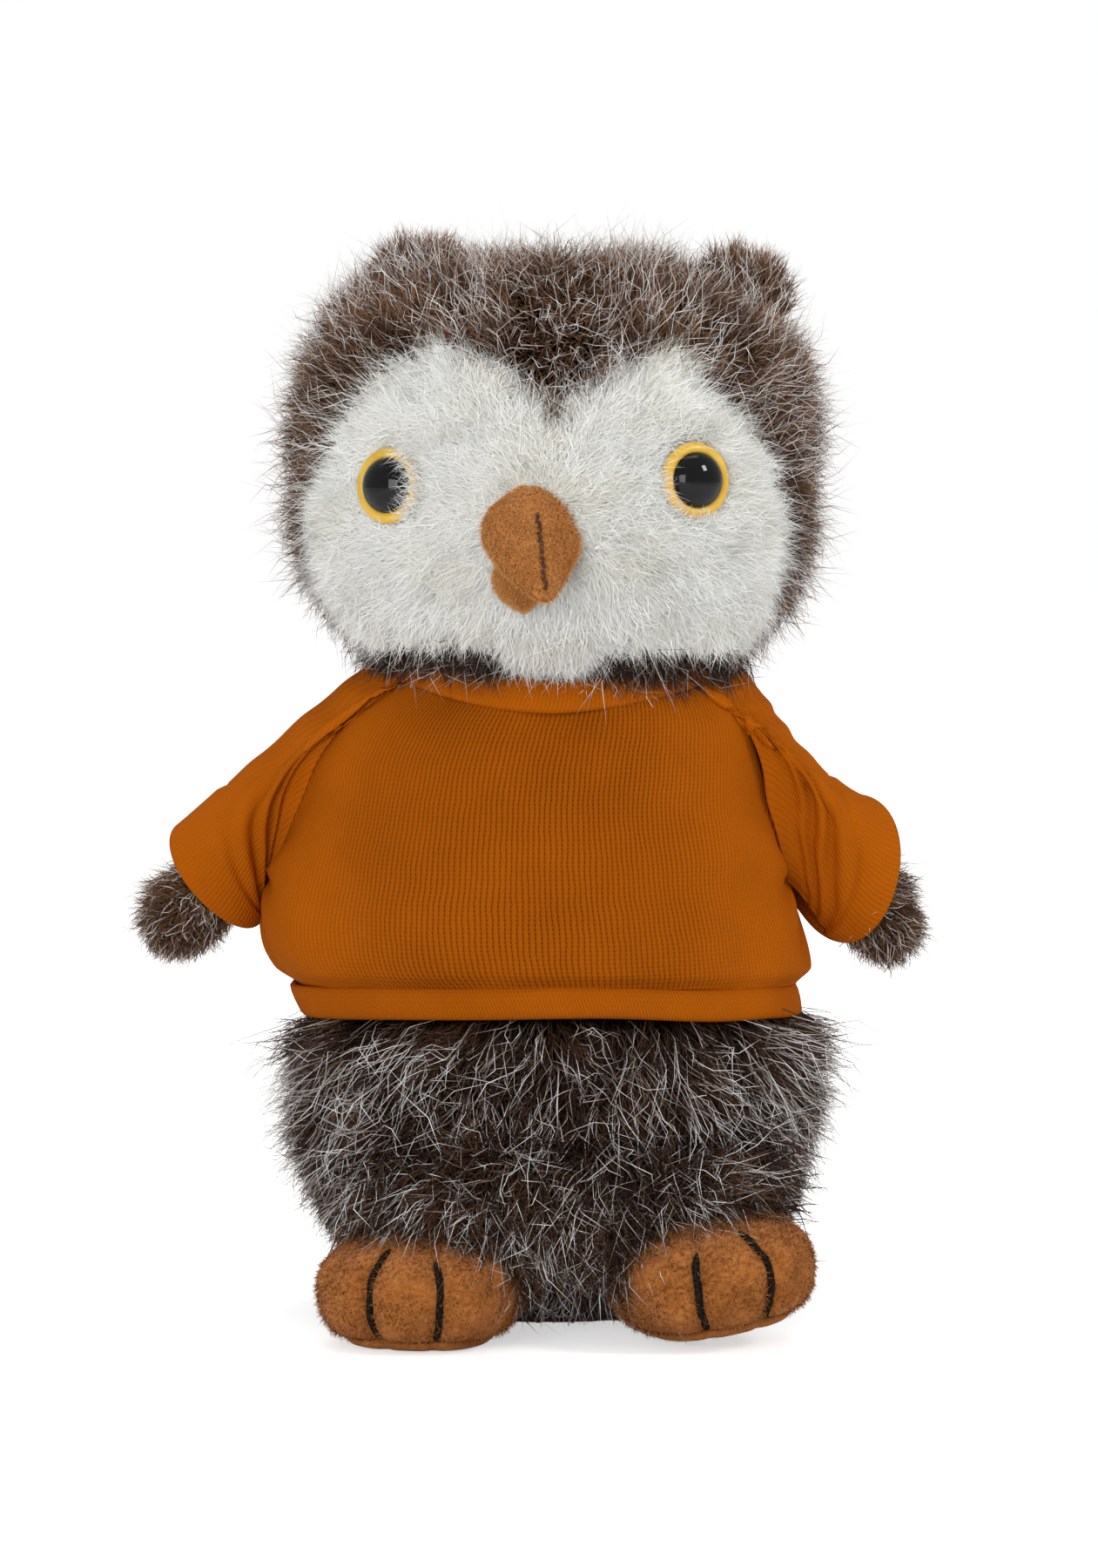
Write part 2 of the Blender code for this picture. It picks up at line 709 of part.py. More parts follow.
def make_eye(shop, side_name, head, share, turn_deg):
    """Plate, button and washer. Returns the room that they need in the face and the stuffing."""
    place = add_empty(side_name + "_eye", shop.parts, eye_matrix(share, turn_deg))
    place.parent = head
    bore = SHANK_RADIUS + SEAM_GAP
    edge = EYE_EDGE_ROUND
    plate = (
        (bore, EYE_PLATE_THICK),
        (EYE_PLATE_RADIUS - edge, EYE_PLATE_THICK),
        (EYE_PLATE_RADIUS, EYE_PLATE_THICK - edge),
        (EYE_PLATE_RADIUS, 0.0),
        (bore, 0.0),
    )
    turned_piece(shop, side_name + "_eye_plate", plate, place, EYE_YELLOW, EYE_PLATE_ROUGHNESS)

    seat = EYE_PLATE_THICK + SEAM_GAP
    dome = []
    for step in range(PUPIL_STEPS):
        angle = (1.0 - (step + 1) / PUPIL_STEPS) * math.pi / 2
        height = seat + PUPIL_RIM + PUPIL_DOME * math.sin(angle)
        dome.append((PUPIL_RADIUS * math.cos(angle), height))
    button = [(0.0, seat + PUPIL_RIM + PUPIL_DOME)] + dome + [
        (PUPIL_RADIUS, seat),
        (SHANK_RADIUS, seat),
        (SHANK_RADIUS, -SHANK_LENGTH),
        (0.0, -SHANK_LENGTH),
    ]
    turned_piece(shop, side_name + "_eye_button", button, place, EYE_BLACK, EYE_BUTTON_ROUGHNESS)

    washer_top = -HEAD_PILE - FACE_PUFF
    washer = (
        (bore, washer_top),
        (WASHER_RADIUS, washer_top),
        (WASHER_RADIUS, washer_top - WASHER_THICK),
        (bore, washer_top - WASHER_THICK),
    )
    turned_piece(shop, side_name + "_eye_washer", washer, place, PLASTIC_WHITE, WASHER_ROUGHNESS)

    low = -SHANK_LENGTH - SEAM_GAP
    stations = (
        (low, WASHER_RADIUS + SEAM_GAP),
        (washer_top + SEAM_GAP, WASHER_RADIUS + SEAM_GAP),
        (washer_top + SEAM_GAP, bore),
        (-SEAM_GAP, bore),
        (-SEAM_GAP, EYE_PLATE_RADIUS + SEAM_GAP),
        (EYE_PLATE_RADIUS, EYE_PLATE_RADIUS + SEAM_GAP),
    )
    rows = [(height, radius, radius, 0.0, 0.0) for height, radius in stations]
    room = lofted_mesh("eye_room", TURNED_SEGMENTS, rows)
    return shop.add(side_name + "_eye_room", room, place)


def beak_matrix(share, pitch_deg, yaw_deg):
    """Places a beak half, whose own +Z runs from inside the face to its tip."""
    pitch, yaw = math.radians(pitch_deg), math.radians(yaw_deg)
    level = math.cos(pitch)
    along = Vector((level * math.sin(yaw), -level * math.cos(yaw), -math.sin(pitch)))
    across = Vector((math.cos(yaw), math.sin(yaw), 0.0))
    up = along.cross(across)
    turn = Matrix((across, up, along)).transposed().to_4x4()
    return Matrix.Translation(face_surface(share)) @ turn


def beak_stations(half_width, half_height, length, hook):
    """A soft cone with a round nose, drawn down towards its tip."""
    root_width, root_height = half_width * BEAK_ROOT_SHARE, half_height * BEAK_ROOT_SHARE
    rows = [(-BEAK_ROOT, root_width, root_height, 0.0, 0.0)]
    for along, girth in BEAK_RING_SHARES:
        drop = hook * along**2
        rows.append((along * length, half_width * girth, half_height * girth, 0.0, -drop))
    return rows


def make_beak(shop, head, face_room):
    place = beak_matrix(BEAK_SHARE, BEAK_PITCH_DEG, BEAK_YAW_DEG)
    upper = add_empty("beak_root", shop.parts, place)
    upper.parent = head
    stations = beak_stations(BEAK_HALF_WIDTH, BEAK_HALF_HEIGHT, BEAK_LENGTH, BEAK_HOOK)
    beak_mesh = lofted_mesh("upper_beak", BEAK_SEGMENTS, stations)
    beak = shop.add("upper_beak", beak_mesh, upper, TAN_FELT)
    cut(beak, face_room)

    grown = beak_stations(
        BEAK_HALF_WIDTH + SEAM_GAP, BEAK_HALF_HEIGHT + SEAM_GAP, BEAK_LENGTH + SEAM_GAP, BEAK_HOOK
    )
    upper_room = shop.add("upper_beak_room", lofted_mesh("room", BEAK_SEGMENTS, grown), upper)
    place = beak_matrix(LOWER_BEAK_SHARE, LOWER_BEAK_PITCH_DEG, BEAK_YAW_DEG)
    lower = add_empty("lower_beak_root", shop.parts, place)
    lower.parent = head
    short = beak_stations(LOWER_BEAK_HALF_WIDTH, LOWER_BEAK_HALF_HEIGHT, LOWER_BEAK_LENGTH, 0.0)
    jaw = shop.add("lower_beak", lofted_mesh("lower_beak", BEAK_SEGMENTS, short), lower, TAN_FELT)
    cut(jaw, face_room, upper_room)

    above = BEAK_SEAM_RADIUS + SEAM_GAP
    seam = []
    for along, _, half_height, _, shift in stations[2:-1]:
        seam.append((0.0, shift + half_height + above, along))
    thread_piece(shop, "beak_seam", seam, BEAK_SEAM_RADIUS, upper, THREAD_BROWN)


def make_ear(shop, side_name, share, lean_deg, head, head_room):
    across, up = share
    spot = head_centre() + Vector((across * HEAD_HALF_WIDTH, 0.0, up * HEAD_HALF_HEIGHT))
    turn = Matrix.Rotation(math.radians(lean_deg), 4, "Y")
    place = add_empty(side_name + "_ear_root", shop.parts, Matrix.Translation(spot) @ turn)
    place.parent = head

    def shape(direction):
        narrow = 1.0 - EAR_TAPER_SHARE * max(0.0, direction.z)
        return Vector(
            (
                direction.x * EAR_HALF_WIDTH * narrow,
                direction.y * EAR_HALF_DEPTH * narrow,
                direction.z * EAR_HALF_HEIGHT,
            )
        )

    ear_mesh = ball_mesh("ear", EAR_SEGMENTS, EAR_RINGS, shape)
    ear = shop.add(side_name + "_ear", ear_mesh, place, BROWN_FUR)
    cut(ear, head_room)


def make_head(shop, head):
    """Fur skin, white face, stuffing, ears, eyes and beak."""
    reach = 2.0 * HEAD_HALF_WIDTH
    below_mesh = box_mesh("below_neck", (-reach, -reach, -reach), (reach, reach, SEAM_GAP))
    below = shop.add("below_neck", below_mesh, head)
    fill_top = HEAD_RISE / 2
    hole_mesh = cylinder_mesh(
        "neck_hole", NECK_HOLE_RADIUS, -CUT_OVERRUN, fill_top, TURNED_SEGMENTS
    )
    neck_hole = shop.add("neck_hole", hole_mesh, head)
    hollow = shop.add("head_hollow", head_ball("head_hollow", HEAD_PILE), head)
    face_opening = shop.add("face_opening", face_plug_mesh("face_opening", FACE_SEAM), head)
    skin = shop.add("head_skin", head_ball("head_skin", 0.0), head, BROWN_FUR)
    cut(skin, hollow, neck_hole, below, face_opening)

    eye_rooms = (
        make_eye(shop, "left", head, LEFT_EYE_SHARE, LEFT_EYE_TURN_DEG),
        make_eye(shop, "right", head, RIGHT_EYE_SHARE, RIGHT_EYE_TURN_DEG),
    )
    face = shop.add("face_disc", head_ball("face_disc", 0.0, face=True), head, WHITE_FUR)
    cut(face, hollow, neck_hole, *eye_rooms)
    cut(face, shop.add("face_plug", face_plug_mesh("face_plug", 0.0), head), operation="INTERSECT")
    cut(face, below)

    stuffing = shop.add(
        "head_stuffing", head_ball("head_stuffing", HEAD_PILE + SEAM_GAP), head, FIBRE_WHITE
    )
    fill_mesh = cylinder_mesh(
        "neck_fill", NECK_HOLE_RADIUS - SEAM_GAP, SEAM_GAP, fill_top, TURNED_SEGMENTS
    )
    cut(stuffing, shop.add("neck_fill", fill_mesh, head), operation="UNION")
    cut(stuffing, *eye_rooms)

    face_room = shop.add("face_room", head_ball("face_room", -SEAM_GAP, face=True), head)
    make_beak(shop, head, face_room)
    head_room = shop.add("head_room", head_ball("head_room", -SEAM_GAP), head)
    make_ear(shop, "left", LEFT_EAR_SHARE, -LEFT_EAR_LEAN_DEG, head, head_room)
    make_ear(shop, "right", RIGHT_EAR_SHARE, RIGHT_EAR_LEAN_DEG, head, head_room)


# Feet, in a frame whose origin is on the hinge at the back seam and whose -Y points to the toes


def foot_matrix(side, spacing, toe_out_deg, roll_deg):
    roll = math.radians(roll_deg)
    lift = FOOT_HEIGHT / 2 + FOOT_HALF_WIDTH * math.sin(roll)
    place = Vector((side * spacing, -FOOT_SETBACK, lift))
    turn = Matrix.Rotation(math.radians(side * toe_out_deg), 4, "Z")
    return Matrix.Translation(place) @ turn @ Matrix.Rotation(-side * roll, 4, "Y")


def foot_groove(direction):
    """Depth of the stitched grooves between the toes in a direction from the foot's middle."""
    angle = math.degrees(math.atan2(direction.x, -direction.y))
    depth = 0.0
    for toe_line in (-TOE_GROOVE_DEG, TOE_GROOVE_DEG):
        depth += math.exp(-(((angle - toe_line) / TOE_GROOVE_SPREAD_DEG) ** 2))
    flat_share = math.hypot(direction.x, direction.y)
    return TOE_GROOVE * depth * min(1.0, flat_share / TOE_GROOVE_REACH_SHARE)


def foot_point(direction, inset=0.0, grooved=True):
    """Point of the foot's outside in a direction from its middle."""
    half_width = FOOT_HALF_WIDTH - inset
    half_length = FOOT_HALF_LENGTH - inset
    half_height = FOOT_HEIGHT / 2 - inset
    flat, tall = FOOT_ROUNDNESS
    level = abs(direction.x / half_width) ** flat + abs(direction.y / half_length) ** flat
    reach = (level ** (tall / flat) + abs(direction.z / half_height) ** tall) ** (-1.0 / tall)
    if grooved:
        reach -= foot_groove(direction)
    point = direction * reach
    forward = max(0.0, (FOOT_HALF_LENGTH - FOOT_BEHIND_HINGE - point.y) / FOOT_HALF_LENGTH / 2)
    if point.z > 0.0:
        point.z *= 1.0 - TOE_DROP_SHARE * min(1.0, forward)
    else:
        point.z *= 1.0 + FLEECE / half_height
    return point + Vector((0.0, FOOT_BEHIND_HINGE - FOOT_HALF_LENGTH, 0.0))


def foot_ball(name, segments, rings, inset=0.0, grooved=True):
    def shape(direction):
        return foot_point(direction, inset, grooved)

    return ball_mesh(name, segments, rings, shape)


def make_foot(shop, side_name, hinge):
    """Fleece upper, sole, stuffing and two lines of stitching between the toes."""
    sole_low = -FOOT_HEIGHT / 2
    sole_high = sole_low + FLEECE
    reach = 2.0 * FOOT_HALF_LENGTH
    low, high = (-reach, -reach, -reach), (reach, reach, sole_high + SEAM_GAP)
    sole_room = shop.add(side_name + "_sole_room", box_mesh("sole_room", low, high), hinge)
    wall = FLEECE + TOE_GROOVE / 2
    inner = foot_ball("inner", FOOT_INNER_SEGMENTS, FOOT_INNER_RINGS, wall, grooved=False)
    hollow = shop.add(side_name + "_foot_hollow", inner, hinge)

    upper_mesh = foot_ball("foot", FOOT_SEGMENTS, FOOT_RINGS)
    upper = shop.add(side_name + "_foot_upper", upper_mesh, hinge, TAN_FLEECE)
    cut(upper, hollow, sole_room)

    slab = box_mesh("slab", (-reach, -reach, sole_low), (reach, reach, sole_high))
    sole_mesh = foot_ball("sole", FOOT_SEGMENTS, FOOT_RINGS)
    sole = shop.add(side_name + "_sole", sole_mesh, hinge, TAN_FLEECE)
    cut(sole, shop.add(side_name + "_sole_slab", slab, hinge), operation="INTERSECT")

    inset = wall + SEAM_GAP
    fill = foot_ball("fill", FOOT_INNER_SEGMENTS, FOOT_INNER_RINGS, inset, grooved=False)
    stuffing = shop.add(side_name + "_foot_stuffing", fill, hinge, FIBRE_WHITE)
    cut(stuffing, sole_room)

    for number, toe_line in enumerate((-TOE_GROOVE_DEG, TOE_GROOVE_DEG), start=1):
        points = []
        angle = math.radians(toe_line)
        for step in range(STITCH_POINTS):
            polar = math.radians(STITCH_START_DEG + STITCH_RUN_DEG * step / (STITCH_POINTS - 1))
            aside = math.sin(polar)
            direction = Vector((math.sin(angle) * aside, -math.cos(angle) * aside, math.cos(polar)))
            points.append(foot_point(direction) + direction * (STITCH_RADIUS + STITCH_LIFT))
        thread_piece(
            shop, f"{side_name}_toe_stitch_{number}", points, STITCH_RADIUS, hinge, THREAD_BLACK
        )


def foot_holds(point, inset):
    """Whether the ungrooved foot, swollen by -inset, holds a point of its frame."""
    middle = Vector((0.0, FOOT_BEHIND_HINGE - FOOT_HALF_LENGTH, 0.0))
    offset = point - middle
    if offset.length < SEAM_GAP:
        return True
    edge = foot_point(offset.normalized(), inset, grooved=False)
    for _ in range(FOOT_SLOPE_PASSES):
        # The toes' slope bends the surface, so the direction is corrected until it meets the point
        miss = offset.normalized() - (edge - middle).normalized()
        edge = foot_point((offset.normalized() + miss).normalized(), inset, grooved=False)
    return offset.length <= (edge - middle).length


def foot_room(shop, side_name, hinge):
    """The room that a foot sweeps as its toes lift, cut from the torso above it."""
    middle = Vector((0.0, FOOT_BEHIND_HINGE - FOOT_HALF_LENGTH, 0.0))
    lifts = [Matrix.Rotation(math.radians(angle), 3, "X") for angle in FOOT_SWEEP_DEG]

    def shape(direction):
        near, far = 0.0, 2.0 * FOOT_HALF_LENGTH
        for _ in range(FOOT_SWEEP_HALVINGS):
            reach = (near + far) / 2
            point = middle + direction * reach
            if any(foot_holds(lift @ point, -SWING_GAP) for lift in lifts):
                near = reach
            else:
                far = reach
        return middle + direction * far

    room = ball_mesh(side_name + "_foot_room", FOOT_SEGMENTS, FOOT_RINGS, shape)
    return shop.add(side_name + "_foot_room", room, hinge)


def main():
    clear_scene()
    shop = Workshop()
    root = add_empty("torso_root", shop.parts, Matrix.Identity(4))
    head = add_empty("head_turn", shop.parts, Matrix.Translation((0.0, 0.0, NECK_HEIGHT)))
    armholes, rooms = [], []
    for side_name, side, wing_deg, spacing, foot_deg in (
        ("left", -1, LEFT_WING_DEG, LEFT_FOOT_SPACING, LEFT_FOOT_DEG),
        ("right", 1, RIGHT_WING_DEG, RIGHT_FOOT_SPACING, RIGHT_FOOT_DEG),
    ):
        shoulder = add_empty(side_name + "_wing_lift", shop.parts, wing_matrix(side, *wing_deg))
        make_wing(shop, side_name, shoulder)
        armholes.append(armhole_room(shop, side_name, shoulder))
        hinge_place = foot_matrix(side, spacing, *foot_deg)
        hinge = add_empty(side_name + "_foot_tilt", shop.parts, hinge_place)
        make_foot(shop, side_name, hinge)
        rooms.append(foot_room(shop, side_name, hinge))
    make_torso(shop, root, armholes + rooms)
    make_shirt(shop, root, armholes)
    make_head(shop, head)


main()
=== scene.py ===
"""The looks of a plush owl in a knitted shirt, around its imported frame. Metres, +Z up, facing -Y."""

import math

import bmesh
import bpy
import numpy as np
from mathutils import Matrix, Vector


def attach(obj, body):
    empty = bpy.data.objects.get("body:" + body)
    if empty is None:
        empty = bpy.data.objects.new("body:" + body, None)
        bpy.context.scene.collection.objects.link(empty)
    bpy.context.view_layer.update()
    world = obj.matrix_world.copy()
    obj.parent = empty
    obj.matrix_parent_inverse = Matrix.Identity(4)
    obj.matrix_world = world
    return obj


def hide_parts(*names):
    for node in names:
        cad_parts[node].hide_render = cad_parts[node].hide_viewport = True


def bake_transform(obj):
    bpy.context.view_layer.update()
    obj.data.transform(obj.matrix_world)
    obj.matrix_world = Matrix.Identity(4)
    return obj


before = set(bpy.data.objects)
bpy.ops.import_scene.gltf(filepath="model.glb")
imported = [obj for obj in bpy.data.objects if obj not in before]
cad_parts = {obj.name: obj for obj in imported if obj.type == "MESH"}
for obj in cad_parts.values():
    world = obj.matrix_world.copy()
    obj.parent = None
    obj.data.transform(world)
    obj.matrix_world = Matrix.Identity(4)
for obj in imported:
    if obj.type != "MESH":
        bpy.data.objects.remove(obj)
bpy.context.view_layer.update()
QUICK_SHARE = 1.0
MM = 0.001

# Meshes of the fur: most triangles in one piece, and bands of the strands' map
MOST_TRIANGLES = 180000
STRAND_BANDS = 64

# Cloth: its thicknesses, and how much of the knit's map goes to one radian round the torso
JERSEY_THICK, RIB_THICK, BAND_THICK = 0.0009, 0.0007, 0.0008
KNIT_PER_RADIAN = 0.052

# Camera of the photograph
CAMERA_PLACE = (-0.00176, -1.100, 0.170)
CAMERA_PITCH_DEG = 3.33
CAMERA_LENS = 124.95

# Head and face, as in the part's source
HEAD_CENTRE = np.array((0.0, 0.0, 0.1695))
HEAD_HALF = np.array((0.0520, 0.0430, 0.0415))
HEAD_FLAT, HEAD_TALL = 2.15, 2.8
FACE_PUFF = 0.0015
MUZZLE_BULGE = 0.0045
MUZZLE_SPREAD_DEG = 30.0
MUZZLE_SHARE = (-0.03, -0.42)
# Metres along the face for one radian of its slope
FACE_ARC = 0.043
FACE_ROWS, FACE_COLUMNS = 40, 120
FACE_OUTLINE = np.array(
    [
        (-90, 0.94), (-62, 0.93), (-42, 0.96), (-30, 0.93), (-18, 0.90), (0, 0.84),
        (12, 0.745), (28, 0.64), (43, 0.645), (51, 0.555), (61, 0.385), (76, 0.285),
        (97, 0.25), (113, 0.30), (123, 0.42), (130, 0.58), (138, 0.705), (155, 0.765),
        (174, 0.85), (191, 0.94), (206, 0.97), (220, 0.975), (242, 0.94), (270, 0.94),
    ]
)
EYES = {
    "left": ((-0.0328, -0.03561, 0.16641), (-0.5592, -0.8274, 0.05234)),
    "right": ((0.02652, -0.03905, 0.16748), (0.4841, -0.8734, 0.05234)),
}
BEAK_ROOT = np.array((-0.00556, -0.04788, 0.15759))
BEAK_ACROSS = np.array((0.98481, 0.17365, 0.0))
BEAK_UP = np.array((0.10691, -0.60631, 0.78801))
BEAK_ALONG = np.array((0.13684, -0.77604, -0.61566))
BEAK_HALF_WIDE, BEAK_HALF_TALL = 0.0092, 0.0090
BEAK_LENGTH, BEAK_HOOK = 0.0195, 0.0016
JAW_ROOT = np.array((-0.0074, -0.0464, 0.1492))
JAW_ALONG = np.array((0.10691, -0.60631, -0.78801))
EARS = {
    "left": ((-0.0275, 0.0, 0.2072), (-0.12, 0.0, 0.9928)),
    "right": ((0.0365, 0.0, 0.2050), (0.24, 0.0, 0.9708)),
}

# Torso and shirt
NECK_HEIGHT = 0.129
TORSO_HALF = (0.0535, 0.0465)
TORSO_LEAN = -0.0050
TORSO_ROWS = np.array(
    [
        (0.000, 0.70, 0.70, 0.0), (0.035, 0.82, 0.80, 0.0), (0.100, 0.92, 0.90, 0.0),
        (0.190, 0.985, 0.97, 0.0), (0.290, 1.00, 1.00, 0.0), (0.390, 0.975, 0.985, 0.0),
        (0.480, 0.895, 0.93, 0.15), (0.560, 0.935, 0.96, 0.85), (0.640, 0.960, 0.97, 1.0),
        (0.720, 0.940, 0.93, 1.0), (0.800, 0.880, 0.86, 1.0), (0.870, 0.870, 0.79, 0.8),
        (0.930, 0.820, 0.72, 0.4), (0.965, 0.740, 0.67, 0.1), (1.000, 0.640, 0.62, 0.0),
    ]
)

# Wings: shoulder, direction towards the tip, and the cuff's own tilt
WINGS = {
    "left": ((-0.05626, 0.0015, 0.1010), (-0.656, 0.0, -0.755), 10.0),
    "right": ((0.04626, 0.0015, 0.1010), (0.633, 0.174, -0.754), 41.0),
}
CUFF_REACH = {"left": 0.0191, "right": 0.0202}
CUFF_LIFT = {"left": 0.0014, "right": 0.0031}
CUFF_RADIUS = {"left": 0.0126, "right": 0.0147}
CUFF_TURN_DEG = 27.0

# Feet: hinge, and the directions of the foot's own x, y and z
FEET = {
    "left": (
        (-0.0240, -0.0370, 0.01125),
        ((0.9703, -0.24192, 0.0), (0.24192, 0.9703, 0.0), (0.0, 0.0, 1.0)),
    ),
    "right": (
        (0.0256, -0.0370, 0.0143),
        ((0.92812, 0.33781, 0.15643), (-0.34202, 0.93969, 0.0), (-0.147, -0.0535, 0.98769)),
    ),
}
FOOT_HALF = np.array((0.0195, 0.0190, 0.01125))
FOOT_BACK = 0.0075
FOOT_SHIFT = np.array((0.0, FOOT_BACK - FOOT_HALF[1], 0.0))
# Exponents of the foot's rounding from above and from the side, how much of its height it
# loses towards the toes, and how much deeper its underside is
FOOT_FLAT, FOOT_TALL = 2.5, 2.4
FOOT_FALL = 0.30
FOOT_BELLY = 0.002
TOE_GROOVE_DEG = 6.0
TOE_LINES_DEG = {"left": (-18.0, 27.0), "right": (-29.0, 18.0)}
TOE_TOPS_DEG = {"left": (46.0, 60.0), "right": (62.0, 48.0)}


# Small sums

DOWN = np.array((0.0, 0.0, -1.0))
UP = np.array((0.0, 0.0, 1.0))
AHEAD = np.array((0.0, -1.0, 0.0))
LEVEL = np.array((1.0, 1.0, 0.0))


def unit(v):
    """Vectors along the last axis, brought to length 1."""
    return v / np.maximum(np.linalg.norm(v, axis=-1, keepdims=True), 1e-12)


def across(offset, way):
    """The part of offsets that lies across a direction."""
    return offset - (offset @ way)[:, None] * way


def on_surface(way, normals):
    """Directions laid flat on a surface."""
    return unit(way - (way * normals).sum(1, keepdims=True) * normals)


def full_turn(count):
    """Angles all round, in even steps."""
    return np.arange(count) / count * 2 * math.pi


def ease(low, high, x):
    """0 up to low, 1 from high on, and a smooth rise between. With high below low it falls."""
    t = np.clip((x - low) / (high - low), 0.0, 1.0)
    return t * t * (3.0 - 2.0 * t)


def hill(x, width):
    """1 where x is 0, and a bell-shaped fall to 0 on both sides."""
    return np.exp(-((x / width) ** 2))


def wobble(points, size, seed, parts=7):
    """Smooth random vectors, about one unit long, that change over a distance of size."""
    rng = np.random.default_rng(seed)
    total = np.zeros((len(points), 3))
    for _ in range(parts):
        wave = unit(rng.normal(size=3)) * (2 * math.pi / size) * rng.uniform(0.5, 1.3)
        phase = rng.uniform(0, 2 * math.pi, 3)
        total += np.sin((points @ wave)[:, None] + phase)
    return total / math.sqrt(parts / 2)


def linear(*rgb):
    """Linear colour from 0 to 255 screen values."""
    share = np.array(rgb) / 255.0
    low = share / 12.92
    high = ((share + 0.055) / 1.055) ** 2.4
    return (*np.where(share <= 0.04045, low, high).tolist(), 1.0)


# Meshes


def mesh_of(name, verts, quads, tris=()):
    """A mesh object from point and index arrays, smooth shaded."""
    quads = np.asarray(quads, np.int32).reshape(-1, 4)
    tris = np.asarray(tris, np.int32).reshape(-1, 3)
    loops = np.concatenate([quads.ravel(), tris.ravel()])
    starts = np.concatenate(
        [np.arange(len(quads)) * 4, len(quads) * 4 + np.arange(len(tris)) * 3]
    )
    mesh = bpy.data.meshes.new(name)
    mesh.vertices.add(len(verts))
    mesh.vertices.foreach_set("co", np.asarray(verts, np.float32).ravel())
    mesh.loops.add(len(loops))
    mesh.loops.foreach_set("vertex_index", loops)
    mesh.polygons.add(len(starts))
    mesh.polygons.foreach_set("loop_start", starts.astype(np.int32))
    mesh.update(calc_edges=True)
    mesh.shade_smooth()
    obj = bpy.data.objects.new(name, mesh)
    bpy.context.scene.collection.objects.link(obj)
    return obj


def set_map(obj, name, per_loop):
    layer = obj.data.uv_layers.new(name=name)
    layer.data.foreach_set("uv", np.asarray(per_loop, np.float32).ravel())


def set_map_by_point(obj, name, per_point):
    index = np.empty(len(obj.data.loops), np.int32)
    obj.data.loops.foreach_get("vertex_index", index)
    set_map(obj, name, np.asarray(per_point)[index])


def grid_quads(rows, columns, closed):
    """Quads of a grid whose points run along its columns first. A closed one joins its ends."""
    last = columns if closed else columns - 1
    row, col = np.meshgrid(np.arange(rows - 1), np.arange(last), indexing="ij")
    row, col = row.ravel(), col.ravel()
    beside = (col + 1) % columns
    return np.stack(
        [
            row * columns + col,
            row * columns + beside,
            (row + 1) * columns + beside,
            (row + 1) * columns + col,
        ],
        axis=1,
    )


def point_normals(verts, faces):
    """Normals of points, each the mean over its faces by their area."""
    a, b, c = (verts[faces[:, i]] for i in range(3))
    flat = np.cross(b - a, c - a)
    normals = np.zeros_like(verts)
    for i in range(faces.shape[1]):
        np.add.at(normals, faces[:, i], flat)
    return unit(normals)


def split(quads):
    """Two triangles for each quad."""
    return np.concatenate([quads[:, [0, 1, 2]], quads[:, [0, 2, 3]]])


def fan(hub, first, columns, turned_over=False):
    """Triangles between a hub and a closed ring of points that starts at first."""
    ring = np.arange(columns)
    here, beside = first + ring, first + (ring + 1) % columns
    if turned_over:
        here, beside = beside, here
    return np.stack([np.full(columns, hub), here, beside], axis=1)


def faces_in(verts, quads, middle):
    """Whether quads face the middle, which is one point or one for each quad."""
    corner = verts[quads[:, 0]]
    facing = np.cross(verts[quads[:, 1]] - corner, verts[quads[:, 2]] - corner)
    return (facing * (corner - middle)).sum() < 0


def shell(verts, quads, thick):
    """Points and quads of a cloth with its thickness inwards and a rim round each open edge."""
    inner = verts - point_normals(verts, quads) * thick
    count = len(verts)
    edges = np.concatenate([quads[:, [i, (i + 1) % 4]] for i in range(4)])
    key = np.sort(edges, axis=1)
    _, index, uses = np.unique(key, axis=0, return_index=True, return_counts=True)
    rim = edges[index[uses == 1]]
    walls = np.stack([rim[:, 1], rim[:, 0], rim[:, 0] + count, rim[:, 1] + count], axis=1)
    return (
        np.concatenate([verts, inner]),
        np.concatenate([quads, quads[:, ::-1] + count, walls]),
    )


# Materials


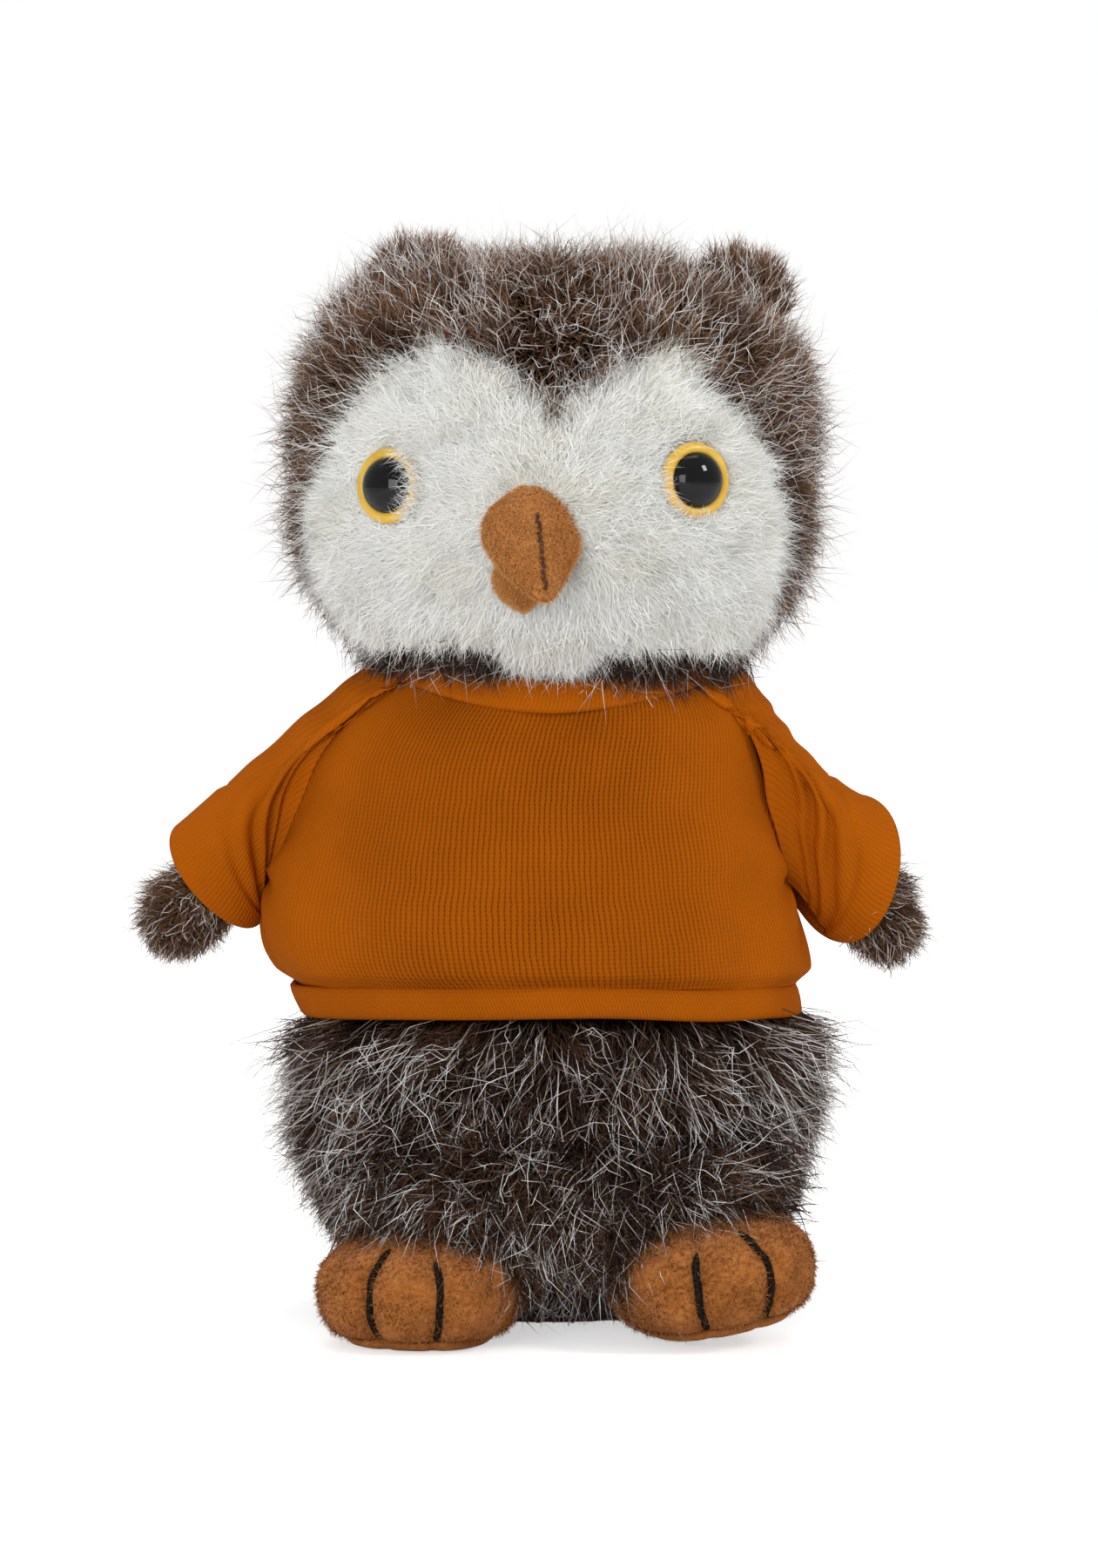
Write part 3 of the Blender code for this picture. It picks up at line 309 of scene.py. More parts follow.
class Paint:
    """A material with a Principled shader, and short calls that add nodes to it."""

    def __init__(self, name, roughness, specular=0.3, **sockets):
        self.material = bpy.data.materials.new(name)
        self.material.use_nodes = True
        self.tree = self.material.node_tree
        self.shader = self.tree.nodes["Principled BSDF"]
        self.shader.inputs["Roughness"].default_value = roughness
        self.shader.inputs["Specular IOR Level"].default_value = specular
        for socket, value in sockets.items():
            self.shader.inputs[socket.replace("_", " ")].default_value = value

    def node(self, kind, **settings):
        made = self.tree.nodes.new("ShaderNode" + kind)
        for key, value in settings.items():
            setattr(made, key, value)
        return made

    def feed(self, socket, value):
        if isinstance(value, bpy.types.NodeSocket):
            self.tree.links.new(value, socket)
        else:
            socket.default_value = value

    def math(self, operation, a, b=0.0, c=0.0):
        made = self.node("Math", operation=operation)
        for socket, value in zip(made.inputs, (a, b, c)):
            self.feed(socket, value)
        return made.outputs[0]

    def mapped(self, x, low, high, to_low=0.0, to_high=1.0):
        made = self.node("MapRange")
        for key, value in (
            ("Value", x), ("From Min", low), ("From Max", high), ("To Min", to_low), ("To Max", to_high)
        ):
            self.feed(made.inputs[key], value)
        return made.outputs[0]

    def uv(self, name):
        split_node = self.node("SeparateXYZ")
        self.feed(split_node.inputs[0], self.node("UVMap", uv_map=name).outputs[0])
        return split_node.outputs[0], split_node.outputs[1]

    def noise(self, scale, detail=3.0, rough=0.55, distortion=0.0):
        made = self.node("TexNoise")
        self.feed(made.inputs["Vector"], self.node("TexCoord").outputs["Object"])
        made.inputs["Scale"].default_value = scale
        made.inputs["Detail"].default_value = detail
        made.inputs["Roughness"].default_value = rough
        made.inputs["Distortion"].default_value = distortion
        return made.outputs[0]

    def ramp(self, x, *stops):
        made = self.node("ValToRGB")
        band = made.color_ramp
        while len(band.elements) < len(stops):
            band.elements.new(0.5)
        for slot, (where, colour) in zip(band.elements, stops):
            slot.position = where
            slot.color = colour
        self.feed(made.inputs[0], x)
        return made.outputs[0]

    def mix(self, share, a, b):
        made = self.node("Mix", data_type="RGBA")
        self.feed(made.inputs[0], share)
        self.feed(made.inputs[6], a)
        self.feed(made.inputs[7], b)
        return made.outputs[2]

    def colour(self, value):
        self.feed(self.shader.inputs["Base Color"], value)

    def bump(self, height, distance):
        made = self.node("Bump")
        made.inputs["Distance"].default_value = distance
        self.feed(made.inputs["Height"], height)
        self.feed(self.shader.inputs["Normal"], made.outputs[0])


def fur_paint(name, roots, tips, rise=(0.1, 0.75), roughness=0.62):
    """Strands coloured along their length, and from one strand to the next across the map."""
    paint = Paint(name, roughness, 0.22)
    column, along = paint.uv("OFBake")
    root = paint.ramp(column, *roots)
    tip = paint.ramp(column, *tips)
    paint.colour(paint.mix(paint.mapped(along, *rise), root, tip))
    return paint.material


def backing_paint(name, low, high):
    paint = Paint(name, 0.95, 0.05)
    paint.colour(paint.ramp(paint.noise(420.0, 4.0, 0.6), (0.35, low), (0.7, high)))
    paint.bump(paint.noise(1500.0, 2.0), 0.0002)
    return paint.material


BROWN_ROOTS = (
    (0.0, linear(36, 21, 13)), (0.5, linear(62, 40, 27)),
    (0.52, linear(66, 48, 38)), (1.0, linear(122, 106, 94)),
)
BROWN_TIPS = (
    (0.0, linear(62, 38, 24)), (0.28, linear(104, 70, 46)), (0.5, linear(142, 104, 74)),
    (0.52, linear(140, 112, 90)), (0.66, linear(196, 184, 175)), (1.0, linear(248, 248, 248)),
)
# The body's pile is the brown pile painted darker in its roots and browns: painted shade of the hanging
# fur under light from above.
BODY_SHADED_ROOTS = (
    (0.0, linear(20, 11, 6)), (0.5, linear(38, 23, 14)),
    (0.52, linear(46, 31, 22)), (1.0, linear(112, 92, 80)),
)
BODY_SHADED_TIPS = (
    (0.0, linear(30, 16, 9)), (0.28, linear(58, 35, 20)), (0.5, linear(92, 60, 38)),
    (0.52, linear(104, 78, 60)), (0.70, linear(186, 174, 166)), (0.86, linear(254, 254, 254)),
)
# The pile of the neck and of the chin's fringe is the brown pile painted darkest: painted shade under the
# head.
NECK_SHADED_ROOTS = (
    (0.0, linear(14, 8, 5)), (0.5, linear(30, 18, 11)),
    (0.52, linear(38, 25, 18)), (1.0, linear(84, 70, 62)),
)
NECK_SHADED_TIPS = (
    (0.0, linear(24, 13, 8)), (0.40, linear(50, 30, 18)), (0.66, linear(84, 56, 38)),
    (0.68, linear(96, 72, 56)), (0.85, linear(160, 148, 140)), (1.0, linear(232, 230, 228)),
)
WHITE_ROOTS = ((0.0, linear(238, 234, 221)), (0.25, linear(247, 246, 237)), (1.0, linear(251, 251, 245)))
WHITE_TIPS = ((0.0, linear(244, 242, 230)), (0.25, linear(252, 252, 247)), (1.0, linear(254, 254, 252)))

HEAD_FUR = fur_paint("brown_head_pile", BROWN_ROOTS, BROWN_TIPS)
BODY_FUR_SHADED = fur_paint("brown_body_pile_shaded", BODY_SHADED_ROOTS, BODY_SHADED_TIPS)
NECK_FUR_SHADED = fur_paint("brown_neck_pile_shaded", NECK_SHADED_ROOTS, NECK_SHADED_TIPS)
WHITE_FUR = fur_paint("white_face_pile", WHITE_ROOTS, WHITE_TIPS, (0.0, 0.6), 0.7)
DARK_BACKING = backing_paint("fur_backing_brown", linear(28, 17, 11), linear(56, 38, 26))
PALE_BACKING = backing_paint("fur_backing_white", linear(238, 234, 224), linear(250, 249, 246))


# Fur


def scatter(verts, tris, count, seed, weight=None):
    """Random points on a surface, evenly by area and weight, with their normals."""
    rng = np.random.default_rng(seed)
    normals = point_normals(verts, tris)
    a, b, c = (verts[tris[:, i]] for i in range(3))
    area = np.linalg.norm(np.cross(b - a, c - a), axis=1) / 2
    if weight is not None:
        area = area * weight((a + b + c) / 3)
    pick = rng.choice(len(tris), size=count, p=area / area.sum())
    u, v = rng.random(count), rng.random(count)
    over = u + v > 1
    u[over], v[over] = 1 - u[over], 1 - v[over]
    w = np.stack([1 - u - v, u, v], axis=1)[:, :, None]
    points = (verts[tris[pick]] * w).sum(1)
    return points, unit((normals[tris[pick]] * w).sum(1))


def strands(
    name, roots, first, last, length, radius, column, paint,
    rings, curl, seed, fix=None, soft=None,
):
    """Closed three-sided strands that leave along first and end along last.

    column says, from 0 to 1, which strand of the paint each one takes. soft gives the shading
    normals of a pile that is too fine to shade strand by strand.
    """
    rng = np.random.default_rng(seed)
    count = len(roots)
    line = [roots]
    first, last = unit(first), unit(last)
    side = unit(np.cross(first, rng.normal(size=(count, 3))))
    other = np.cross(first, side)
    phase = rng.uniform(0, 2 * math.pi, count)
    turns = rng.uniform(0.6, 1.4, count)
    for step in range(1, rings + 1):
        t = (step - 0.5) / rings
        way = unit(first * (1 - t) + last * t)
        line.append(line[-1] + way * (length / rings)[:, None])
    line = np.stack(line, axis=1)
    if curl:
        t = np.linspace(0, 1, rings + 1)
        angle = phase[:, None] + turns[:, None] * 2 * math.pi * t
        sway = (t * curl)[None, :] * length[:, None]
        line += (sway * np.cos(angle))[:, :, None] * side[:, None, :]
        line += (sway * np.sin(angle))[:, :, None] * other[:, None, :]
    if fix is not None:
        line[:, 1:] = fix(line[:, 1:].reshape(-1, 3)).reshape(count, rings, 3)
    run = np.empty_like(line[:, :rings])
    run[:, 0] = line[:, 1] - line[:, 0]
    run[:, 1:] = line[:, 2 : rings + 1] - line[:, : rings - 1]
    run = unit(run)
    side = unit(np.cross(run, other[:, None, :]))
    other = np.cross(run, side)
    t = np.arange(rings) / rings
    girth = radius[:, None] * (1.0 - 0.55 * t)[None, :]
    size = rings * 3 + 1
    verts = np.empty((count, size, 3))
    corner_ways = []
    for corner in range(3):
        angle = 2 * math.pi * corner / 3
        corner_ways.append(side * math.cos(angle) + other * math.sin(angle))
        verts[:, corner : rings * 3 : 3] = line[:, :rings] + corner_ways[corner] * girth[:, :, None]
    verts[:, -1] = line[:, -1]
    quads, tris, quad_maps, tri_maps = [], [], [], []
    for ring in range(rings - 1):
        low, high = ring / rings, (ring + 1) / rings
        for corner in range(3):
            beside = (corner + 1) % 3
            at, up = ring * 3, ring * 3 + 3
            quads.append((at + corner, at + beside, up + beside, up + corner))
            left, right = corner / 3, (corner + 1) / 3
            quad_maps.append(((left, low), (right, low), (right, high), (left, high)))
    for corner in range(3):
        at = (rings - 1) * 3
        low = (rings - 1) / rings
        tris.append((at + corner, at + (corner + 1) % 3, rings * 3))
        left, right = corner / 3, (corner + 1) / 3
        tri_maps.append(((left, low), (right, low), ((left + right) / 2, 1.0)))
    tris.append((0, 2, 1))
    tri_maps.append(((0.1, 0.0), (0.5, 0.04), (0.9, 0.0)))
    base = (np.arange(count) * size)[:, None, None]
    quads = (np.array(quads)[None] + base).reshape(-1, 4)
    tris = (np.array(tris)[None] + base).reshape(-1, 3)
    obj = mesh_of(name, verts.reshape(-1, 3), quads, tris)
    slot = np.clip((column * STRAND_BANDS).astype(int), 0, STRAND_BANDS - 1)

    def spread(shape):
        """The map of one strand, moved to each strand's own band and kept off its edges."""
        one = np.array(shape, float)
        out = np.broadcast_to(one[None], (count, *one.shape)).copy()
        out[..., 0] = (slot[:, None, None] + 0.1 + 0.8 * out[..., 0]) / STRAND_BANDS
        return out.reshape(-1, 2)

    maps = [spread(quad_maps)] if quad_maps else []
    set_map(obj, "OFBake", np.concatenate(maps + [spread(tri_maps)]))
    obj.data.materials.append(paint)
    if soft is not None:
        tuft = wobble(roots, 0.0075, 91) * 0.17 + wobble(roots, 0.0032, 92) * 0.20
        around = np.stack(corner_ways, axis=2).reshape(count, rings * 3, 3)
        around = np.concatenate([around, run[:, -1:]], axis=1)
        shading = unit(unit(soft + tuft)[:, None, :] + 0.55 * around)
        obj.data.normals_split_custom_set_from_vertices(shading.reshape(-1, 3).tolist())
    return obj


NO_GUARD = (0.0, 0.001, 0.1, 0.0001, 2)


def coat(name, body, replaced, slot, paint, points, normals, flow, under, guard, seed, **look):
    """A fur coat on points of a backing: soft underfur, then longer guard hairs over it.

    flow(points, normals) gives each hair's first and last direction. under and guard are
    (share of points, length, length spread, radius, rings). Underfur takes the lower half of
    the paint's colours, and guard hairs the upper half.
    """
    rng = np.random.default_rng(seed)
    order = rng.permutation(len(points))
    points, normals = points[order], normals[order]
    cut_at = int(len(points) * under[0] / (under[0] + guard[0]))
    for kind, part, spec, low, high in (
        ("under", slice(0, cut_at), under, 0.0, 0.5),
        ("guard", slice(cut_at, None), guard, 0.52, 1.0),
    ):
        _, long, vary, thick, rings = spec
        spots, up = points[part], normals[part]
        if not len(spots):
            continue
        first, last = flow(spots, up)
        count = len(spots)
        wild = look.get("wild", 0.35) * (1.0 if kind == "under" else 1.25)
        first = unit(first) + rng.normal(size=(count, 3)) * wild * 0.7
        last = unit(last) + rng.normal(size=(count, 3)) * wild
        clump = wobble(spots, look.get("clump", 0.009), seed + 5) * look.get("clump_share", 0.3)
        last = last + clump
        lengths = long * (1 + vary * rng.normal(size=count)).clip(0.45, 1.35)
        if "length_at" in look:
            lengths = lengths * look["length_at"](spots)
        shade = 0.5 + 0.22 * wobble(spots, 0.012, seed + 9)[:, 0] + 0.22 * rng.normal(size=count)
        column = low + (high - low) * np.clip(shade, 0.0, 0.999)
        radius = thick * rng.uniform(0.75, 1.3, count)
        triangles = (rings - 1) * 6 + 4
        groups = max(1, math.ceil(count * triangles / MOST_TRIANGLES))
        turn = np.arctan2(spots[:, 1] + 0.0123, spots[:, 0]) + 0.4
        group = np.argsort(np.argsort(turn)) * groups // count
        for number in range(groups):
            chosen = group == number
            title = f"{name}_{kind}" + (f"_{number + 1}" if groups > 1 else "")
            piece = strands(
                title, spots[chosen], first[chosen], last[chosen], lengths[chosen], radius[chosen],
                column[chosen], paint, rings, look.get("curl", 0.08), seed + 31 * number + 3,
                look.get("fix"), look["soft"](spots[chosen], up[chosen]) if "soft" in look else None,
            )
            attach(piece, body)
            if replaced:
                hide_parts(replaced)


def dressed(obj, body, material, slot, *replaced, fill=None):
    """Gives a piece its material and body, and hides the nodes that it replaces. Its slot and fill are
    not used.
    """
    obj.data.materials.append(material)
    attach(obj, body)
    if replaced:
        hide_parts(*replaced)


# Head and face


def head_reach(way, inset):
    """Distance from the head's middle to its outside, less an inset, in a direction."""
    width, depth, height = HEAD_HALF - inset
    level = np.abs(way[..., 0] / width) ** HEAD_FLAT + np.abs(way[..., 1] / depth) ** HEAD_FLAT
    return (level ** (HEAD_TALL / HEAD_FLAT) + np.abs(way[..., 2] / height) ** HEAD_TALL) ** (
        -1.0 / HEAD_TALL
    )


def head_front(aside, up):
    """Point on the front of the head at shares of its half width and half height."""
    level = (1.0 - np.abs(up) ** HEAD_TALL) ** (HEAD_FLAT / HEAD_TALL)
    forward = np.maximum(0.0, level - np.abs(aside) ** HEAD_FLAT) ** (1.0 / HEAD_FLAT)
    return np.stack([aside * HEAD_HALF[0], -forward * HEAD_HALF[1], up * HEAD_HALF[2]], axis=-1)


def muzzle(way):
    """How far the muzzle bulges in a direction from the head's middle."""
    middle = unit(head_front(*np.array(MUZZLE_SHARE)))
    angle = np.degrees(np.arccos(np.clip(way @ middle, -1, 1)))
    return MUZZLE_BULGE * hill(angle, MUZZLE_SPREAD_DEG)


def face_slope(angle_deg):
    """Angle off straight ahead at which the face ends, in each direction round its middle."""
    angle = (angle_deg + 90.0) % 360.0 - 90.0
    row = np.clip(np.searchsorted(FACE_OUTLINE[:, 0], angle, "right") - 1, 0, len(FACE_OUTLINE) - 2)
    part = (angle - FACE_OUTLINE[row, 0]) / (FACE_OUTLINE[row + 1, 0] - FACE_OUTLINE[row, 0])
    share = FACE_OUTLINE[row, 1] + part * part * (3 - 2 * part) * (
        FACE_OUTLINE[row + 1, 1] - FACE_OUTLINE[row, 1]
    )
    aside, up = np.cos(np.radians(angle)), np.sin(np.radians(angle))
    edge = (np.abs(aside / HEAD_HALF[0]) ** HEAD_TALL + np.abs(up / HEAD_HALF[2]) ** HEAD_TALL) ** (
        -1.0 / HEAD_TALL
    )
    spot = unit(head_front(aside * edge * share / HEAD_HALF[0], up * edge * share / HEAD_HALF[2]))
    return np.arccos(np.clip(-spot[..., 1], -1, 1))


def face_depth(points):
    """How far inside the face's outline points of the head lie, in metres, and below 0 outside it."""
    way = unit(points - HEAD_CENTRE)
    slope = np.arccos(np.clip(-way[:, 1], -1, 1))
    angle = np.degrees(np.arctan2(way[:, 2], way[:, 0]))
    return (face_slope(angle) - slope) * FACE_ARC


# How much fuller the head's fur is round its outline, by the angle in degrees, in millimetres
HEAD_PLUMP = np.array(
    [
        (-180, 2.4), (-152, 2.2), (-135, 3.4), (-118, 2.0), (-98, 0.0), (-80, 0.0),
        (-62, 2.0), (-46, 4.2), (-30, 1.6), (-10, 0.0), (10, 0.8), (25, 2.4),
        (38, 1.4), (50, 1.0), (64, 2.6), (76, 1.8), (90, 1.8), (108, 1.8),
        (125, 2.4), (137, 4.6), (148, 4.0), (160, 2.8), (170, 2.4), (180, 2.4),
    ]
)


def head_plump(way):
    """How much fuller the head's fur is in a direction, in metres."""
    angle = np.degrees(np.arctan2(way[..., 2], way[..., 0]))
    extra = np.interp(angle, HEAD_PLUMP[:, 0], HEAD_PLUMP[:, 1]) * MM
    return extra * ease(0.72, 0.95, np.hypot(way[..., 0], way[..., 2]))


def head_grid(inset, columns, rows):
    """Points of the head's backing with their quads."""
    turn = full_turn(columns)
    tilt = (np.arange(rows) + 0.5) / rows * math.pi
    tilt, turn = np.meshgrid(tilt, turn, indexing="ij")
    way = np.stack([np.sin(tilt) * np.cos(turn), np.sin(tilt) * np.sin(turn), np.cos(tilt)], axis=-1)
    way = way.reshape(-1, 3)
    points = HEAD_CENTRE + way * (head_reach(way, inset) + head_plump(way))[:, None]
    quads = grid_quads(rows, columns, True)[:, ::-1]
    return points, quads


def eye_distance(points):
    """Distance of points from each eye's axis."""
    near = np.full(len(points), 1.0)
    for place, outward in EYES.values():
        beside = across(points - np.array(place), np.array(outward))
        near = np.minimum(near, np.linalg.norm(beside, axis=1))
    return near


HEAD_INSET = 0.0058
FACE_INSET = 0.0024

verts, quads = head_grid(HEAD_INSET, 120, 80)
deep = face_depth(verts)
keep = (deep[quads].max(1) < 0.0035) & (verts[quads][:, :, 2].min(1) > 0.1305)
head_backing = mesh_of("head_backing", *shell(verts, quads[keep], 0.0009))
dressed(head_backing, "head", DARK_BACKING, "brown_fur", "head_skin", fill=0.75)


def head_flow(points, normals):
    """Out from the face in front, up and outwards on the crown, down at the back and sides."""
    from_face = points - HEAD_CENTRE - np.array((0.0, 0.0, -0.004))
    spread = unit(from_face * np.array((1.0, 0.15, 1.0)))
    back = ease(-0.01, 0.03, points[:, 1])[:, None]
    crown = ease(0.186, 0.206, points[:, 2])[:, None]
    low = ease(0.152, 0.132, points[:, 2])[:, None]
    notch = (hill(points[:, 0] + 0.001, 0.012) * ease(0.02, -0.03, points[:, 1]))[:, None]
    way = spread * (1 - back) + np.array((0.0, 0.35, -1.0)) * back
    way = way * (1 - 0.55 * crown) + np.array((0.0, 0.1, 1.0)) * 0.55 * crown
    way = way * (1 - 0.7 * low) + DOWN * 0.7 * low
    way = way * (1 - 0.75 * notch) + np.array((0.0, -0.3, -0.55)) * 0.75 * notch
    way = on_surface(way, normals)
    settle = np.array((0.0, 0.0, -0.14)) * (1 - crown)
    return normals * 0.95 + way * 0.5, normals * (0.6 + 0.3 * crown) + way * 0.8 + settle


def head_weight(points):
    outside = ease(-0.0002, -0.0024, face_depth(points))
    off_neck = np.hypot(points[:, 0], points[:, 1]) + ease(0.140, 0.150, points[:, 2])
    return outside * ease(0.019, 0.024, off_neck)


def chin_length(points):
    return 1.0 - 0.35 * ease(0.146, 0.132, points[:, 2])


spots, ups = scatter(verts, split(quads), int(62000 * QUICK_SHARE), 11, head_weight)
coat(
    "head_fur", "head", "head_skin", "brown_fur", HEAD_FUR, spots, ups, head_flow,
    (0.82, 0.0080, 0.25, 0.00017, 2), (0.18, 0.0122, 0.22, 0.00011, 3), 21,
    wild=0.52, curl=0.13, length_at=chin_length,
)


def white_edge(aside):
    """Height at which the roots of the white pile end, lowest under the beak."""
    return np.interp(aside, (-0.012, -0.004, 0.003, 0.009), (0.1372, 0.1306, 0.1316, 0.1362))


# Fur of the head's underside, which hangs over the collar in front
FRINGE_ROWS, FRINGE_COLUMNS = 8, 60
round_chin = np.linspace(-1.35, 1.35, FRINGE_COLUMNS)
fringe_way = np.stack([np.sin(round_chin), -np.cos(round_chin), np.zeros(FRINGE_COLUMNS)], axis=1)
drop = np.linspace(0.88, 1.80, FRINGE_ROWS)[:, None, None]
fringe_way = unit(fringe_way[None] + DOWN * drop).reshape(-1, 3)
fringe = HEAD_CENTRE + fringe_way * (head_reach(fringe_way, 0.0042) + 0.6 * muzzle(fringe_way))[:, None]
fringe_quads = grid_quads(FRINGE_ROWS, FRINGE_COLUMNS, False)


def fringe_flow(points, normals):
    out = unit(points * LEVEL)
    return out * 1.0 + np.array((0.0, 0.0, -0.40)), out * 0.25 + DOWN


def fringe_length(points):
    return 1.1 + 0.2 * ease(-0.006, 0.004, points[:, 0])


def fringe_weight(points):
    return ease(0.0, 0.0025, white_edge(points[:, 0]) + 0.0015 - points[:, 2])


spots, ups = scatter(fringe, split(fringe_quads), int(15000 * QUICK_SHARE), 17, fringe_weight)
coat(
    "chin_fringe", "head", "head_skin", "brown_fur", NECK_FUR_SHADED, spots, ups, fringe_flow,
    (0.90, 0.0098, 0.22, 0.00018, 2), (0.10, 0.0122, 0.2, 0.00011, 3), 27, wild=0.42, curl=0.2,
    length_at=fringe_length,
)


def face_points():
    """Rings of points of the face's backing, from its middle to its outline."""
    angle = np.arange(FACE_COLUMNS) / FACE_COLUMNS * 360.0
    share = np.linspace(0.0, 1.0, FACE_ROWS)
    share, angle = np.meshgrid(share, angle, indexing="ij")
    share, angle = share.ravel(), angle.ravel()
    slope = face_slope(angle) * share
    turn = np.radians(angle)
    way = np.stack([np.cos(turn) * np.sin(slope), -np.cos(slope), np.sin(turn) * np.sin(slope)], axis=-1)
    inside = face_slope(angle) * (1 - share) * FACE_ARC
    rise = (FACE_PUFF - FACE_INSET + HEAD_INSET + muzzle(way)) * ease(-0.001, 0.008, inside)
    rough = way * 0.046
    sunk = 0.0034 * ease(0.0005, 0.0030, white_edge(rough[:, 0]) - rough[:, 2] - HEAD_CENTRE[2])
    reach = head_reach(way, HEAD_INSET) + rise + head_plump(way) - sunk + 0.0002
    points = HEAD_CENTRE + way * reach[:, None]
    dent = ease(0.0095, 0.006, eye_distance(points))[:, None]
    points -= unit(points - HEAD_CENTRE) * dent * 0.0016
    return points


verts = face_points()
middle = verts[:FACE_COLUMNS].mean(0)
verts = np.concatenate([verts[FACE_COLUMNS:], middle[None]])
hub = fan(len(verts) - 1, 0, FACE_COLUMNS)
quads = grid_quads(FACE_ROWS - 1, FACE_COLUMNS, True)
if faces_in(verts, quads, HEAD_CENTRE):
    quads = quads[:, ::-1]
    hub = hub[:, ::-1]
keep = verts[quads][:, :, 2].min(1) > 0.1305
face_backing = mesh_of("face_backing", verts, quads[keep], hub)
dressed(face_backing, "head", PALE_BACKING, "white_fur", "face_disc", fill=0.75)


def face_flow(points, normals):
    """Out from the bridge of the beak, round the eyes, and down at the chin."""
    spread = unit((points - np.array((-0.003, -0.045, 0.162))) * np.array((1.0, 0.1, 1.0)))
    low = ease(0.155, 0.138, points[:, 2])[:, None]
    way = spread * (1 - 0.4 * low) + np.array((0.0, -0.1, -1.0)) * 0.4 * low
    ridge = hill(points[:, 0] + 0.003, 0.006) * ease(0.164, 0.172, points[:, 2])
    way = way + np.array((0.0, -0.5, 0.6)) * ridge[:, None]
    for place, outward in EYES.values():
        beside = across(points - np.array(place), np.array(outward))
        near = ease(0.011, 0.0065, np.linalg.norm(beside, axis=1))[:, None]
        way = way * (1 - near) + unit(beside) * near
    way = on_surface(way, normals)
    fringe = ease(0.0045, 0.0010, face_depth(points))[:, None]
    return normals * 0.8 + way * (0.55 + 0.3 * fringe), normals * 0.55 + way * (0.85 + 0.3 * fringe)


def beak_distance(points):
    """Distance of points from the nearer beak half's axis. The smaller lower half counts as farther."""
    upper = np.linalg.norm(across(points - BEAK_ROOT + BEAK_ALONG * 0.002, BEAK_ALONG), axis=1)
    lower = np.linalg.norm(across(points - JAW_ROOT, JAW_ALONG), axis=1) + 0.0022
    return np.minimum(upper, lower)


def face_weight(points):
    open_eye = ease(0.0062, 0.0072, eye_distance(points))
    open_beak = ease(0.0036, 0.0052, beak_distance(points))
    edge = white_edge(points[:, 0])
    return open_eye * open_beak * ease(edge - 0.0007, edge + 0.001, points[:, 2])


def face_length(points):
    near_eye = ease(0.0062, 0.0105, eye_distance(points))
    near_beak = ease(0.004, 0.010, beak_distance(points))
    chin = ease(0.144, 0.134, points[:, 2]) * hill(points[:, 0] + 0.002, 0.007)
    fringe = ease(0.0045, 0.0010, face_depth(points))
    return (0.55 + 0.45 * near_eye) * (0.7 + 0.3 * near_beak) * (1 + 0.45 * chin) * (1 + 0.55 * fringe)


def face_shading(points, normals):
    """Shading directions of the pile, turned up where the face curves under."""
    low = ease(0.158, 0.138, points[:, 2])[:, None]
    return unit(normals + low * np.array((0.0, -0.25, 0.32)))


face_tris = np.concatenate([split(quads), hub])
spots, ups = scatter(verts, face_tris, int(125000 * QUICK_SHARE), 12, face_weight)
coat(
    "face_pile", "head", "face_disc", "white_fur", WHITE_FUR, spots, ups, face_flow,
    (0.90, 0.0044, 0.30, 0.00012, 1), (0.10, 0.0070, 0.25, 0.00008, 2), 22,
    wild=0.64, curl=0.20, clump=0.0060, clump_share=0.38, length_at=face_length, soft=face_shading,
)

# A few wisps of pile that lie over the rims of the eyes
rng = np.random.default_rng(5)
for side, low_deg, high_deg, count in (("left", -56, 64, 300), ("right", 165, 290, 190)):
    place, outward = np.array(EYES[side][0]), np.array(EYES[side][1])
    level = unit(np.cross(UP, outward))
    upright = np.cross(outward, level)
    angle = np.radians(rng.uniform(low_deg, high_deg, count))
    rim = level * np.cos(angle)[:, None] + upright * np.sin(angle)[:, None]
    roots = place - outward * 0.0006 + rim * rng.uniform(0.0076, 0.0096, count)[:, None]
    first = outward * 1.0 - rim * 0.25 + rng.normal(size=(count, 3)) * 0.25
    last = outward * 0.55 - rim * 0.9 + rng.normal(size=(count, 3)) * 0.5
    longest = 0.0078 if side == "left" else 0.0052
    wisps = strands(
        side + "_eye_wisps", roots, first, last, rng.uniform(0.0030, longest, count),
        rng.uniform(0.00004, 0.00007, count), rng.uniform(0.55, 0.99, count), WHITE_FUR, 3, 0.16, 6,
    )
    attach(wisps, "head")

# Ear tufts
for name, (place, upward) in EARS.items():
    place, upward = np.array(place), np.array(upward)
    aside = np.array((upward[2], 0.0, -upward[0]))
    forth = np.array((0.0, 1.0, 0.0))
    rise = np.linspace(-0.004, 0.0050, 12)
    rise_grid, turn_grid = np.meshgrid(rise, full_turn(28), indexing="ij")
    girth = np.sqrt(np.clip(1 - ((rise_grid + 0.004) / 0.0092) ** 2, 0.0, 1))
    verts = (
        place
        + upward * rise_grid[..., None]
        + aside * (np.cos(turn_grid) * girth * 0.0086)[..., None]
        + forth * (np.sin(turn_grid) * girth * 0.0042)[..., None]
    ).reshape(-1, 3)
    quads = grid_quads(12, 28, True)
    if faces_in(verts, quads, place):
        quads = quads[:, ::-1]
    core = mesh_of(name + "_ear_backing", verts, quads)
    dressed(core, "head", DARK_BACKING, "brown_fur", name + "_ear", fill=0.6)

    def ear_flow(points, normals, upward=upward):
        return normals * 0.55 + upward * 0.6, normals * 0.25 + upward * 1.0

    spots, ups = scatter(verts, split(quads), int(2400 * QUICK_SHARE), 13)
    coat(
        name + "_ear_fur", "head", name + "_ear", "brown_fur", HEAD_FUR, spots, ups, ear_flow,
        (0.84, 0.0062, 0.25, 0.00016, 2), (0.16, 0.0074, 0.25, 0.00013, 3), 23, wild=0.42,
    )


# Body fur

# Fine heights at which the torso's width, depth and sideways shift are kept
FINE = np.linspace(0.0, NECK_HEIGHT, 400)


